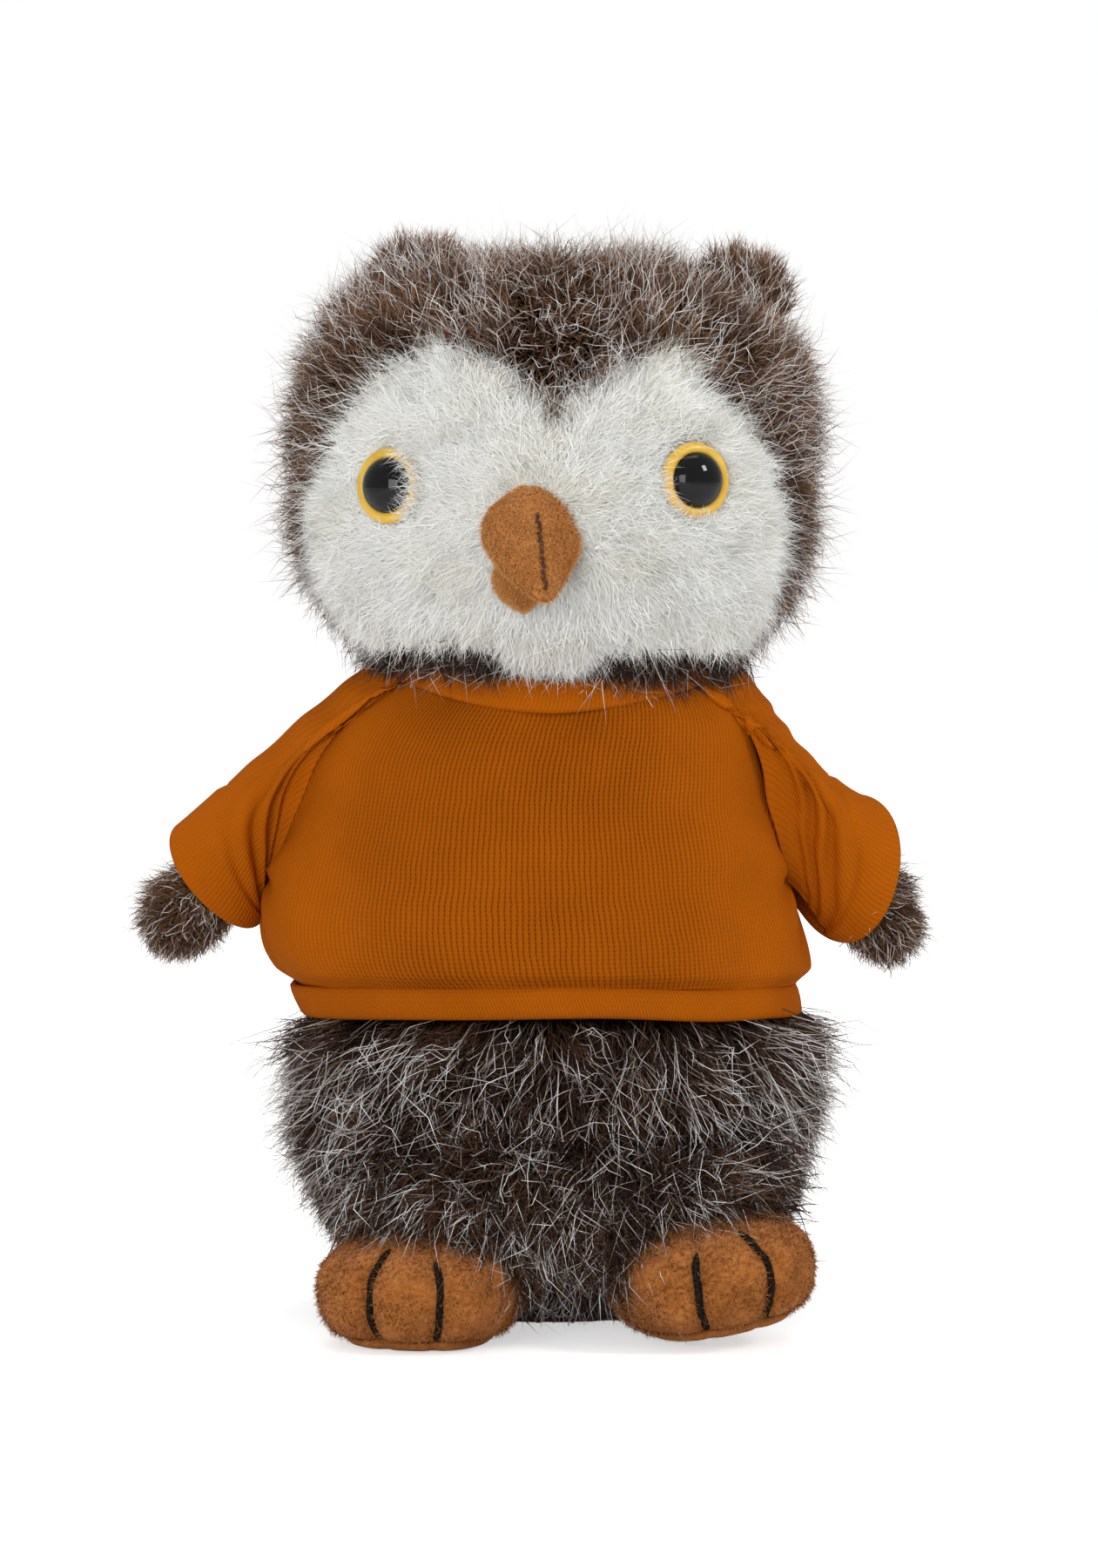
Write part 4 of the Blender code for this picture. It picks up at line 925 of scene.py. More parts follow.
def smoothed(column):
    """A column of the torso's rows at each fine height, with its corners rounded."""
    plain = np.interp(FINE / NECK_HEIGHT, TORSO_ROWS[:, 0], TORSO_ROWS[:, column])
    window = np.hanning(31)
    padded = np.concatenate([np.full(15, plain[0]), plain, np.full(15, plain[-1])])
    return np.convolve(padded, window / window.sum(), "valid")


TORSO_WIDTH = smoothed(1) * TORSO_HALF[0]
TORSO_DEPTH = smoothed(2) * TORSO_HALF[1]
TORSO_SHIFT = smoothed(3) * TORSO_LEAN


def torso_point(angle, height, grow):
    """Point of the torso's outside, grown outwards. Angle 0 is at picture right, -90 degrees in front."""
    width = np.interp(height, FINE, TORSO_WIDTH) + grow
    depth = np.interp(height, FINE, TORSO_DEPTH) + grow
    shift = np.interp(height, FINE, TORSO_SHIFT)
    return np.stack([shift + width * np.cos(angle), depth * np.sin(angle), height], axis=-1)


def foot_frame(side):
    """A foot's hinge, and its own directions as rows."""
    place, axes = FEET[side]
    return np.array(place), np.array(axes)


def foot_plan(local, half):
    """Below 1 inside the foot's outline as seen from above."""
    return np.abs(local[:, 0] / half[0]) ** FOOT_FLAT + np.abs(local[:, 1] / half[1]) ** FOOT_FLAT


def foot_level(points, side, grow):
    """Below 1 inside a foot that is grown by a length, measured in the foot's own frame."""
    place, axes = foot_frame(side)
    local = (points - place) @ axes.T - FOOT_SHIFT
    half = FOOT_HALF + grow
    slope = 1.0 - FOOT_FALL * np.clip((FOOT_HALF[1] - local[:, 1]) / FOOT_HALF[1] / 2, 0, 1)
    height = np.where(local[:, 2] > 0, half[2] * slope, half[2] + FOOT_BELLY)
    level = foot_plan(local, half) ** (FOOT_TALL / FOOT_FLAT)
    return (level + np.abs(local[:, 2] / height) ** FOOT_TALL) ** (1 / FOOT_TALL), local


def off_feet(points):
    """Moves points out of the feet, and keeps them above the floor."""
    points = points.copy()
    for side in FEET:
        level, local = foot_level(points, side, 0.0006)
        inside = level < 1.0
        if inside.any():
            place, axes = foot_frame(side)
            local = local[inside] / np.maximum(level[inside], 0.3)[:, None]
            points[inside] = place + (local + FOOT_SHIFT) @ axes
    between = ease(-0.012, -0.022, points[:, 1]) * ease(0.020, 0.014, np.abs(points[:, 0] - 0.002))
    floor_gap = 0.0006 + (0.0004 + 0.0024 * between) * np.abs(np.sin(points[:, 0] * 9000))
    points[:, 2] = np.maximum(points[:, 2], floor_gap)
    return points


def off_cloth(points):
    """As off_feet, and moves points above the hem's lower edge in under the cloth."""
    points = off_feet(points)
    high = points[:, 2]
    hem = 0.0622 - 0.0028 * (points[:, 0] / 0.052) ** 2
    width = np.interp(high, FINE, TORSO_WIDTH)
    depth = np.interp(high, FINE, TORSO_DEPTH)
    shift = np.interp(high, FINE, TORSO_SHIFT)
    out = np.hypot((points[:, 0] - shift) / width, points[:, 1] / depth)
    under = (high > hem - 0.0004) & (out > 0.985)
    scale = 0.985 / out[under]
    points[under, 0] = shift[under] + (points[under, 0] - shift[under]) * scale
    points[under, 1] *= scale
    return points


BODY_INSET = 0.0062
BODY_COLUMNS = 160
heights = np.concatenate([np.linspace(0.0018, 0.066, 60), np.linspace(0.068, 0.1285, 30)])
angles = full_turn(BODY_COLUMNS)
tall, turn = np.meshgrid(heights, angles, indexing="ij")
verts = torso_point(turn, tall, -BODY_INSET).reshape(-1, 3)
for _ in range(24):
    caught = np.zeros(len(verts), bool)
    for side in FEET:
        caught |= foot_level(verts, side, 0.0016)[0] < 1.0
    verts[caught] *= (0.96, 0.96, 1.0)
quads = grid_quads(len(heights), BODY_COLUMNS, True)
body_backing = mesh_of("body_backing", *shell(verts, quads, 0.0009))
dressed(body_backing, "torso", DARK_BACKING, "brown_fur", "torso_skin", fill=0.8)


def body_flow(points, normals):
    """Down from under the hem, fanning out to the sides and over the feet."""
    outward = unit(points * LEVEL)
    top = ease(0.050, 0.062, points[:, 2])[:, None]
    over = over_feet(points)[:, None]
    first = normals * (0.85 + 0.1 * top) + DOWN * (0.5 + 0.05 * top - 0.3 * over)
    return first, outward * (0.42 + 0.24 * top + 0.5 * over) + DOWN * (0.95 - 0.2 * over)


def over_feet(points):
    """1 for fur in front that drapes over a foot, 0 elsewhere."""
    front = ease(-0.012, -0.030, points[:, 1]) * ease(0.044, 0.030, points[:, 2])
    return front * ease(0.004, 0.010, np.abs(points[:, 0] - 0.0015))


def body_weight(points):
    free = np.ones(len(points))
    for side in FEET:
        free *= ease(1.0, 1.12, foot_level(points, side, 0.001)[0])
    high = points[:, 2] + 0.0028 * (points[:, 0] / 0.045) ** 2
    return free * ease(0.0648, 0.0624, high)


def body_length(points):
    right = points[:, 0] > 0
    low = ease(np.where(right, 0.056, 0.044), 0.016, points[:, 2])
    beside = ease(0.022, 0.040, np.abs(points[:, 0])) * low
    high = ease(0.052, 0.060, points[:, 2]) * ease(0.020, 0.044, np.abs(points[:, 0]))
    short = (1.0 - 0.6 * ease(0.020, 0.006, points[:, 2])) * (1 - np.where(right, 0.68, 0.60) * beside)
    behind = 1 - 0.15 * ease(0.0, 0.03, points[:, 1])
    return short * (1 + 0.30 * over_feet(points)) * (1 + 0.50 * high) * behind


lower = quads[(verts[quads][:, :, 2].max(1) < 0.0655)]
spots, ups = scatter(verts, split(lower), int(62000 * QUICK_SHARE), 14, body_weight)
coat(
    "body_fur", "torso", "torso_skin", "brown_fur", BODY_FUR_SHADED, spots, ups, body_flow,
    (0.88, 0.0104, 0.25, 0.00018, 2), (0.12, 0.0172, 0.24, 0.00011, 3), 24,
    wild=0.36, curl=0.10, clump=0.011, clump_share=0.50, length_at=body_length, fix=off_cloth,
)


def drape_flow(points, normals):
    ahead = AHEAD + normals * 0.2
    return ahead + np.array((0.0, 0.0, 0.05)), ahead * 0.8 + np.array((0.0, 0.0, -0.9))


def drape_weight(points):
    front = ease(-0.016, -0.028, points[:, 1]) * ease(0.019, 0.022, points[:, 2])
    return front * ease(0.040, 0.031, points[:, 2]) * ease(0.041, 0.034, np.abs(points[:, 0] - 0.001))


spots, ups = scatter(verts, split(lower), int(10000 * QUICK_SHARE), 18, drape_weight)
coat(
    "foot_drape", "torso", "torso_skin", "brown_fur", BODY_FUR_SHADED, spots, ups, drape_flow,
    (0.86, 0.0235, 0.14, 0.00020, 4), (0.14, 0.0265, 0.14, 0.00012, 4), 28,
    wild=0.26, curl=0.07, clump=0.008, clump_share=0.5, fix=off_feet,
)

# Fur between the head and the collar
band = np.linspace(0.1268, 0.1300, 6)
tall, turn = np.meshgrid(band, angles, indexing="ij")
neck = torso_point(turn, tall, -0.0030).reshape(-1, 3)
neck_quads = grid_quads(len(band), BODY_COLUMNS, True)


def neck_flow(points, normals):
    out = unit(normals * LEVEL)
    return out * 0.9 + np.array((0.0, 0.0, 0.25)), out * 0.75 + np.array((0.0, 0.0, -0.75))


spots, ups = scatter(neck, split(neck_quads), int(4200 * QUICK_SHARE), 15)
coat(
    "neck_fur", "torso", "torso_skin", "brown_fur", NECK_FUR_SHADED, spots, ups, neck_flow,
    (0.90, 0.0058, 0.2, 0.00017, 2), (0.10, 0.0072, 0.2, 0.00011, 3), 25, wild=0.35,
)

# Wings


def wing_axes(side):
    """Shoulder, direction to the tip, and the two directions across the wing."""
    place, along, _ = WINGS[side]
    along = unit(np.array(along))
    level = unit(np.cross(UP, along))
    return np.array(place), along, level, np.cross(along, level)


def cuff_frame(side):
    """Middle of a cuff, the way out of it, and its directions up and to the front."""
    place, along, _, upright = wing_axes(side)
    if upright[2] < 0:
        upright = -upright
    tilt = math.radians(WINGS[side][2])
    out = unit(along * math.cos(tilt) + upright * math.sin(tilt))
    up = unit(upright * math.cos(tilt) - along * math.sin(tilt))
    front = np.cross(up, out)
    if front[1] > 0:
        front = -front
    turn = math.radians(CUFF_TURN_DEG)
    front = unit(front * math.cos(turn) + out * math.sin(turn))
    centre = place + along * CUFF_REACH[side] + np.array((0.0, 0.0, CUFF_LIFT[side]))
    return centre, out, up, front


for side in WINGS:
    place, along, level, upright = wing_axes(side)
    inset = 0.0048
    rounding = np.sin(np.linspace(0, 1, 10) * math.pi / 2)
    reach = np.concatenate([np.linspace(0.006, 0.026, 8), 0.0262 + 0.0095 * rounding])
    reach_grid, turn_grid = np.meshgrid(reach, full_turn(40), indexing="ij")
    tip = np.sqrt(np.clip(1 - (np.clip(reach_grid - 0.0262, 0, 1) / 0.0096) ** 2, 0.0, 1))
    part = ease(0.004, 0.03, reach_grid)
    wide = (0.0112 + part * 0.0006 - inset) * tip
    deep = (0.0112 - part * 0.0018 - inset) * tip
    verts = (
        place
        + along * reach_grid[..., None]
        + level * (wide * np.cos(turn_grid))[..., None]
        + upright * (deep * np.sin(turn_grid))[..., None]
    ).reshape(-1, 3)
    quads = grid_quads(18, 40, True)
    spine = place + along * ((verts[quads[:, 0]] - place) @ along)[:, None]
    if faces_in(verts, quads, spine):
        quads = quads[:, ::-1]
    core = mesh_of(side + "_wing_backing", *shell(verts, quads, BAND_THICK))
    dressed(core, side + "_wing", DARK_BACKING, "brown_fur", side + "_wing_skin", fill=0.6)

    def wing_flow(points, normals, along=along):
        return normals * 0.75 + along * 0.55, normals * 0.42 + along * 0.95 + np.array((0.0, 0.0, -0.2))

    cuff_centre, cuff_out, cuff_up, cuff_front = cuff_frame(side)
    beyond = unit(np.cross(cuff_up, cuff_front))
    if beyond @ cuff_out < 0:
        beyond = -beyond

    def wing_weight(points, cuff_centre=cuff_centre, beyond=beyond):
        return ease(-0.0016, 0.0004, (points - cuff_centre) @ beyond)

    shorter, fuller = {"left": (0.30, 1.0), "right": (-0.06, 1.18)}[side]

    def wing_length(points, centre=cuff_centre, beyond=beyond, shorter=shorter, fuller=fuller):
        far = (points - centre) @ beyond
        below = ease(0.001, -0.007, points[:, 2] - centre[2] - beyond[2] * far)
        at_cuff = 0.60 + 0.40 * ease(-0.002, 0.006, far)
        at_tip = 1 - shorter * ease(0.008, 0.017, far)
        return at_cuff * at_tip * (1 - 0.34 * below) * fuller

    spots, ups = scatter(verts, split(quads), int(5600 * QUICK_SHARE), 16, wing_weight)
    coat(
        side + "_wing_fur", side + "_wing", side + "_wing_skin", "brown_fur", HEAD_FUR,
        spots, ups, wing_flow,
        (0.87, 0.0076, 0.2, 0.00017, 2), (0.13, 0.0104, 0.2, 0.00011, 3), 26,
        wild=0.36, clump=0.007, curl=0.14, length_at=wing_length,
    )

# Shirt


def knit_paint(name, rib, course, relief, depth, least=0.16):
    """Jersey with its ribs along the map's second direction. The map is in metres. Its colour holds
    painted shade and a painted sheen.
    """
    paint = Paint(name, 0.9, 0.02)
    sideways, along = paint.uv("knit")
    bend = paint.noise(160.0, 2.0, 0.5)
    slack = paint.math("MULTIPLY", paint.math("SUBTRACT", bend, 0.5), rib * 0.9)
    ribs = paint.math("MULTIPLY", paint.math("ADD", sideways, slack), math.pi / rib)
    crown = paint.math("ABSOLUTE", paint.math("SINE", ribs))
    loops = paint.math("MULTIPLY", along, 2 * math.pi / course)
    leaned = paint.math("ADD", loops, paint.math("MULTIPLY", crown, 1.7))
    stitch = paint.math("MULTIPLY_ADD", paint.math("SINE", leaned), 0.5, 0.5)
    height = paint.math("MULTIPLY_ADD", stitch, 0.18, paint.math("MULTIPLY", crown, 0.82))
    fuzz = paint.noise(2600.0, 2.0, 0.7)
    height = paint.math("MULTIPLY_ADD", fuzz, 0.30, height)
    worn = paint.noise(45.0, 4.0, 0.6)
    base = paint.ramp(
        worn, (0.3, linear(161, 81, 8)), (0.5, linear(167, 84, 9)), (0.7, linear(173, 88, 11))
    )
    # Painted shade: the grooves between the ribs, and the gaps between their loops, are mixed towards a
    # deep brown-orange.
    groove = paint.mapped(crown, 0.06, 0.56, 1.0, 0.0)
    hole = paint.math("MULTIPLY", groove, paint.mapped(stitch, 0.1, 0.6, 1.0, 0.42))
    # More painted shade: towards the middle of the front and of the back the whole knit is darkened and
    # its groove shade is strongest; deep holds the strength of both.
    ahead = paint.math("ABSOLUTE", paint.math("SINE", paint.math("DIVIDE", sideways, KNIT_PER_RADIAN)))
    loose = paint.mapped(paint.noise(40.0, 2.0, 0.5), 0.35, 0.65, 0.7, 1.0)
    deep = paint.math("MULTIPLY", paint.mapped(ahead, 0.60, 0.93, least, depth), loose)
    middle_painted_shade = paint.mix(paint.math("MULTIPLY", deep, 0.42), base, linear(96, 44, 3))
    shade = paint.mix(paint.math("MULTIPLY", hole, deep), middle_painted_shade, linear(52, 21, 2))
    # Painted sheen: the raised fuzz is mixed towards a paler orange.
    paint.colour(paint.mix(paint.mapped(fuzz, 0.55, 0.85, 0.0, 0.2), shade, linear(190, 102, 20)))
    paint.bump(height, relief)
    return paint.material


SHIRT_KNIT = knit_paint("orange_jersey", 0.00112, 0.00085, 0.00024, 1.0)
SLEEVE_KNIT = knit_paint("orange_sleeve_knit", 0.00105, 0.00085, 0.00013, 0.18)
HEM_KNIT = knit_paint("orange_hem_knit", 0.0007, 0.0007, 0.00014, 0.45, 0.30)
COLLAR_KNIT = knit_paint("orange_collar_rib", 0.0010, 0.0008, 0.00014, 0.3)


def blouse(height):
    """How far the shirt bellies out over the hem band."""
    off = np.clip(np.abs(height - 0.0742) / 0.0160, 0.0, 1.0)
    return 0.0030 * np.cos(off * math.pi / 2) ** 2


# The neckline is scooped in front and behind and rises at the shoulders, and the hem sags at the sides
def neckline(angle):
    return 0.0082 * np.abs(np.cos(angle)) ** 1.6


def hem_sag(angle):
    return 0.0028 * np.cos(angle) ** 2


# The seam between body and sleeve: share of the way up it, and angle forward of the side
UNDERARM = 0.0855
GATHER_HEIGHT = 0.0875
COLLAR_SEAM = 0.1222
RAGLAN_SHARES = np.array((0.0, 0.12, 0.28, 0.50, 0.72, 0.88, 1.0))
RAGLAN_ANGLES = {
    "left": np.radians((2.0, 8.0, 12.0, 18.0, 26.0, 33.0, 38.0)),
    "right": np.radians((2.0, 8.0, 13.0, 20.0, 29.0, 38.0, 44.0)),
}


def past_seam(side, angle, height):
    """How far inside the sleeve's part of the torso a point lies, in metres, below 0 outside it."""
    middle = math.pi if side == "left" else 0.0
    off = np.abs((angle - middle + math.pi) % (2 * math.pi) - math.pi)
    share = (height - UNDERARM) / (COLLAR_SEAM + neckline(angle) - UNDERARM)
    aside = (np.interp(share, RAGLAN_SHARES, RAGLAN_ANGLES[side]) - off) * 0.045
    return np.minimum(aside, (height - UNDERARM) * 0.8)


def shirt_surface(angle, height, grow=0.0):
    """The shirt's outside with its blouse, its folds and the valley along each raglan seam."""
    flat = np.stack([angle.ravel() * 0.05, height.ravel(), np.zeros(angle.size)], axis=1)
    folds = wobble(flat, 0.034, 41)[:, 0].reshape(angle.shape) * 0.0004
    low = ease(0.092, 0.072, height)
    level = height + hem_sag(angle) * ease(0.090, 0.070, height)
    pleats = np.sin(angle * 11 + wobble(flat, 0.05, 42)[:, 1].reshape(angle.shape) * 1.6)
    pleats = pleats * 0.00045 * low
    valley = 0.0
    for side in WINGS:
        valley = valley + hill(past_seam(side, angle, height), 0.0009) * 0.00022
    gather = 0.0
    for middle in (math.pi, 2 * math.pi):
        off = (angle - middle + math.pi) % (2 * math.pi) - math.pi
        reach = np.hypot(off * 0.05, (height - GATHER_HEIGHT) * 0.7)
        ray = np.arctan2(height - GATHER_HEIGHT, off * 0.05)
        gather = gather + np.sin(ray * 7.0) * 0.0007 * hill(reach - 0.009, 0.009)
    under_chest = ease(0.098, 0.086, height)
    belly = 0.0012 * ease(-0.2, -0.9, np.cos(angle)) * under_chest
    belly = belly - 0.0010 * ease(0.3, 0.9, np.cos(angle)) * under_chest
    belly = belly * ease(0.068, 0.080, height)
    rise = 0.0014 + blouse(level) + folds + pleats - valley + gather + belly
    loose = ease(0.0672, 0.0718, level)
    rise = rise * loose + 0.0010 * (1 - loose)
    return torso_point(angle, height, rise + grow)


def over_shirt(points):
    """Points that would lie under the shirt, moved out level until they lie on it."""
    height = points[:, 2]
    middle = np.interp(height, FINE, TORSO_SHIFT)
    wide = np.interp(height, FINE, TORSO_WIDTH)
    deep = np.interp(height, FINE, TORSO_DEPTH)
    angle = np.arctan2(points[:, 1] / deep, (points[:, 0] - middle) / wide) % (2 * math.pi)
    cloth = shirt_surface(angle, height, 0.0003)
    level = points[:, :2] - np.stack([middle, np.zeros(len(points))], axis=1)
    own = np.linalg.norm(level, axis=1)
    lack = np.hypot(cloth[:, 0] - middle, cloth[:, 1]) - own
    push = np.where(lack > 0, lack, 0.0) * ease(UNDERARM - 0.001, UNDERARM + 0.003, height)
    moved = points.copy()
    moved[:, :2] += level / np.maximum(own, 1e-6)[:, None] * push[:, None]
    return moved


PANEL_ROWS, PANEL_COLUMNS = 110, 240
for name, low_angle, high_angle in (
    ("shirt_front", math.pi, 2 * math.pi),
    ("shirt_back", 0.0, math.pi),
):
    tall = np.linspace(0.0, 1.0, PANEL_ROWS)
    turn = np.linspace(low_angle, high_angle, PANEL_COLUMNS)
    tall, turn = np.meshgrid(tall, turn, indexing="ij")
    bottom = 0.0684 - hem_sag(turn)
    tall = bottom + tall * (COLLAR_SEAM - bottom + neckline(turn))
    verts = shirt_surface(turn, tall).reshape(-1, 3)
    quads = grid_quads(PANEL_ROWS, PANEL_COLUMNS, False)
    corner = quads[:, 0]
    mid_angle = turn.ravel()[corner] + (high_angle - low_angle) / PANEL_COLUMNS / 2
    mid_height = tall.ravel()[corner] + 0.00024
    hidden = np.zeros(len(quads), bool)
    # Above the underarm the panel goes on inside the sleeve, where a lifted wing would open a hole
    for side in WINGS:
        inside = np.minimum(past_seam(side, mid_angle, mid_height), (mid_height - UNDERARM) * 0.36)
        hidden |= inside > 0.0034
    cloth, faces = shell(verts, quads[~hidden], JERSEY_THICK)
    panel = mesh_of(name + "_knit", cloth, faces)
    flat = np.stack([turn.ravel() * KNIT_PER_RADIAN, tall.ravel()], axis=1)
    set_map_by_point(panel, "knit", np.concatenate([flat, flat]))
    dressed(panel, "torso", SHIRT_KNIT, "orange_jersey", name)

BAND_COLUMNS = 320
hem_angles = full_turn(BAND_COLUMNS)
hem_rows = np.array(
    [
        (0.0690, 0.0004), (0.0689, 0.0014), (0.0684, 0.0021), (0.0672, 0.0025), (0.0656, 0.0027),
        (0.0642, 0.0027), (0.0632, 0.0026), (0.0626, 0.0021), (0.0624, 0.0013), (0.0626, 0.0006),
    ]
)
tall, turn = np.meshgrid(hem_rows[:, 0], hem_angles, indexing="ij")
grow = np.broadcast_to(hem_rows[:, 1:2], tall.shape)
round_hem = np.stack([np.cos(turn.ravel()), np.sin(turn.ravel()), 0 * turn.ravel()], axis=1)
wave = wobble(round_hem, 0.9, 43)
verts = torso_point(turn, tall, grow + 0.0001 * wave[:, 0].reshape(turn.shape)).reshape(-1, 3)
verts[:, 2] += 0.0002 * wave[:, 1] - hem_sag(turn.ravel())
verts, quads = shell(verts, grid_quads(len(hem_rows), BAND_COLUMNS, True)[:, ::-1], BAND_THICK)
hem = mesh_of("hem_band_knit", verts, quads)
along_hem = np.cumsum(np.full(len(hem_rows), 0.0010))
flat = np.stack([turn.ravel() * KNIT_PER_RADIAN, np.repeat(along_hem, BAND_COLUMNS)], axis=1)
set_map_by_point(hem, "knit", np.concatenate([flat, flat]))
dressed(hem, "torso", HEM_KNIT, "orange_jersey", "hem_band")

collar_rows = np.array(
    [
        (0.1217, 0.0010), (0.1219, 0.0020), (0.1230, 0.0026), (0.1245, 0.0029), (0.1260, 0.0028),
        (0.1272, 0.0024), (0.1281, 0.0016), (0.1285, 0.0006), (0.1281, -0.0004), (0.1270, -0.0010),
    ]
)
tall, turn = np.meshgrid(collar_rows[:, 0], hem_angles, indexing="ij")
grow = np.broadcast_to(collar_rows[:, 1:2], tall.shape)
verts = torso_point(turn, tall + neckline(turn), grow).reshape(-1, 3)
verts, quads = shell(verts, grid_quads(len(collar_rows), BAND_COLUMNS, True), RIB_THICK)
collar = mesh_of("collar_rib_knit", verts, quads)
set_map_by_point(collar, "knit", np.concatenate([flat, flat]))
dressed(collar, "torso", COLLAR_KNIT, "orange_jersey", "collar_rib")

# Raglan sleeves, lofted from the seam on the shirt to the cuff round the wing
SHOULDER_SPAN = (0.42, 0.58)
CUFF_SEAM = 0.735
SHOULDER_WAY = {"left": (-0.80, 0.0, -0.56), "right": (0.60, 0.0, -0.80)}
rows, columns = 56, 144
for side in WINGS:
    place, along, _, _ = wing_axes(side)
    # Round the armhole: up the front seam, over the shoulder at the collar, down the back seam
    steps = np.arange(columns) / columns
    arms = np.interp(steps, (0.0, *SHOULDER_SPAN, 1.0), (0.0, 1.0, 1.0, 0.0))
    climb = np.sin(arms * math.pi / 2) ** 1.1
    spread = np.interp(steps, SHOULDER_SPAN, (1.0, -1.0))
    off = np.interp(climb, RAGLAN_SHARES, RAGLAN_ANGLES[side]) * spread * ease(0.0, 0.05, arms)
    middle = math.pi if side == "left" else 0.0
    seam_angle = middle + off if side == "left" else middle - off
    height = UNDERARM + (COLLAR_SEAM + 0.0008 + neckline(seam_angle) - UNDERARM) * climb
    start = shirt_surface(seam_angle, height, 0.00025)
    start_out = unit(shirt_surface(seam_angle, height, 0.001) - start)
    beside = shirt_surface(middle + (seam_angle - middle) * 0.8, height, -0.0003) - start
    centre, cuff_way, cuff_up, cuff_front = cuff_frame(side)
    lap = steps * 2 * math.pi
    girth = CUFF_RADIUS[side] * (1.0 + 0.03 * np.sin(3 * lap + 0.7))
    ring = (
        centre
        - cuff_up * (np.cos(lap) * girth)[:, None]
        + cuff_front * (np.sin(lap) * girth)[:, None]
    )
    t = np.linspace(0.0, 1.0, rows)[:, None, None]
    run = np.linalg.norm(ring - start, axis=1)[None, :, None]
    over = ease(0.55 if side == "left" else 0.82, 1.0, arms)[:, None]
    under = 1 - ease(0.0, 0.15, arms)[:, None]
    toward = unit(ring - start)
    up_seam = shirt_surface(seam_angle, height + 0.0004) - shirt_surface(seam_angle, height - 0.0004)
    round_seam = shirt_surface(seam_angle + 0.008, height) - shirt_surface(seam_angle - 0.008, height)
    upward = unit(np.cross(round_seam, up_seam))
    leave = unit(
        toward * 0.5 * (1 - over)
        + unit(beside) * 0.65 * (1 - over)
        + np.array(SHOULDER_WAY[side]) * over
        + start_out * (0.85 + 0.1 * under - (0.5 if side == "left" else 0.65) * over)
    )
    sunk = np.clip(0.22 - (leave * upward).sum(1), 0.0, None) * ease(1.0, 0.93, arms)
    leave = unit(leave + upward * sunk[:, None])
    # A Hermite curve in each column, from the seam to the cuff
    h00, h10 = 2 * t**3 - 3 * t**2 + 1, t**3 - 2 * t**2 + t
    h01, h11 = -2 * t**3 + 3 * t**2, t**3 - t**2
    lead = (0.85 - 0.35 * arms)[None, :, None]
    cloth = h00 * start + h10 * leave * run * lead + h01 * ring + h11 * cuff_way * run * 0.6
    cloth = over_shirt(cloth.reshape(-1, 3)).reshape(cloth.shape)
    points = cloth.reshape(-1, 3)
    quads = grid_quads(rows, columns, True)
    normals = point_normals(points, quads)
    if (normals * (points - points.mean(0))).sum() < 0:
        quads = quads[:, ::-1]
        normals = -normals
    # Creases across the sleeve, and the cuff's seam allowance with the line sewn along it
    down_arm = np.repeat(np.linspace(0, 1, rows), columns)
    round_arm = np.tile(steps, rows) * 2 * math.pi
    front = np.sin(round_arm)
    drift = wobble(points, 0.03, 51)[:, 0]
    crease = 0.0
    for where, depth, width in ((0.24, 0.0008, 0.05), (0.40, 0.0016, 0.055), (0.58, 0.0013, 0.05)):
        line = down_arm - where - 0.05 * drift - 0.06 * np.cos(round_arm)
        roll = hill(line - 0.07, 0.06) * 0.6 - hill(line, width)
        crease = crease + depth * roll
    free = ease(0.0, 0.08, down_arm) * ease(1.0, 0.8, down_arm)
    gentle = free * (0.10 + 0.90 * np.clip(front, 0, 1) ** 0.7) + free * 0.35 * np.clip(-front, 0, 1)
    allowance = 0.0005 * ease(CUFF_SEAM, CUFF_SEAM + 0.015, down_arm)
    allowance = allowance - 0.0004 * hill(down_arm - CUFF_SEAM, 0.012)
    points = points + normals * ((crease * gentle + allowance)[:, None])
    verts, faces = shell(points, quads, JERSEY_THICK)
    sleeve = mesh_of(side + "_sleeve_knit", verts, faces)
    length = np.cumsum(np.linalg.norm(np.diff(cloth, axis=0), axis=2), axis=0)
    length = np.concatenate([[np.zeros(columns)], length])
    flat = np.stack([np.tile(steps * 0.086, rows), length.ravel()], axis=1)
    set_map_by_point(sleeve, "knit", np.concatenate([flat, flat]))
    sleeve.data.materials.append(SLEEVE_KNIT)
    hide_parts(side + "_sleeve")
    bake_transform(sleeve)

# Feet


def toe_grooves(way, side):
    """1 along the lines between the toes, 0 away from them."""
    angle = np.degrees(np.arctan2(way[:, 0], -way[:, 1]))
    return sum(hill(angle - line, TOE_GROOVE_DEG) for line in TOE_LINES_DEG[side])


def foot_surface(way, side):
    """Outside of a foot in its own frame, in directions from its middle."""
    level = foot_plan(way, FOOT_HALF) ** (FOOT_TALL / FOOT_FLAT)
    reach = (level + np.abs(way[:, 2] / FOOT_HALF[2]) ** FOOT_TALL) ** (-1 / FOOT_TALL)
    rim = ease(0.60, 0.98, np.hypot(way[:, 0], way[:, 1]))
    point = way * (reach - 0.0019 * toe_grooves(way, side) * rim)[:, None]
    forward = np.clip((FOOT_HALF[1] - FOOT_BACK - point[:, 1]) / FOOT_HALF[1] / 2, 0, 1)
    lower = 1.0 + FOOT_BELLY / FOOT_HALF[2]
    point[:, 2] *= np.where(point[:, 2] > 0, 1.0 - FOOT_FALL * forward, lower)
    return point + FOOT_SHIFT


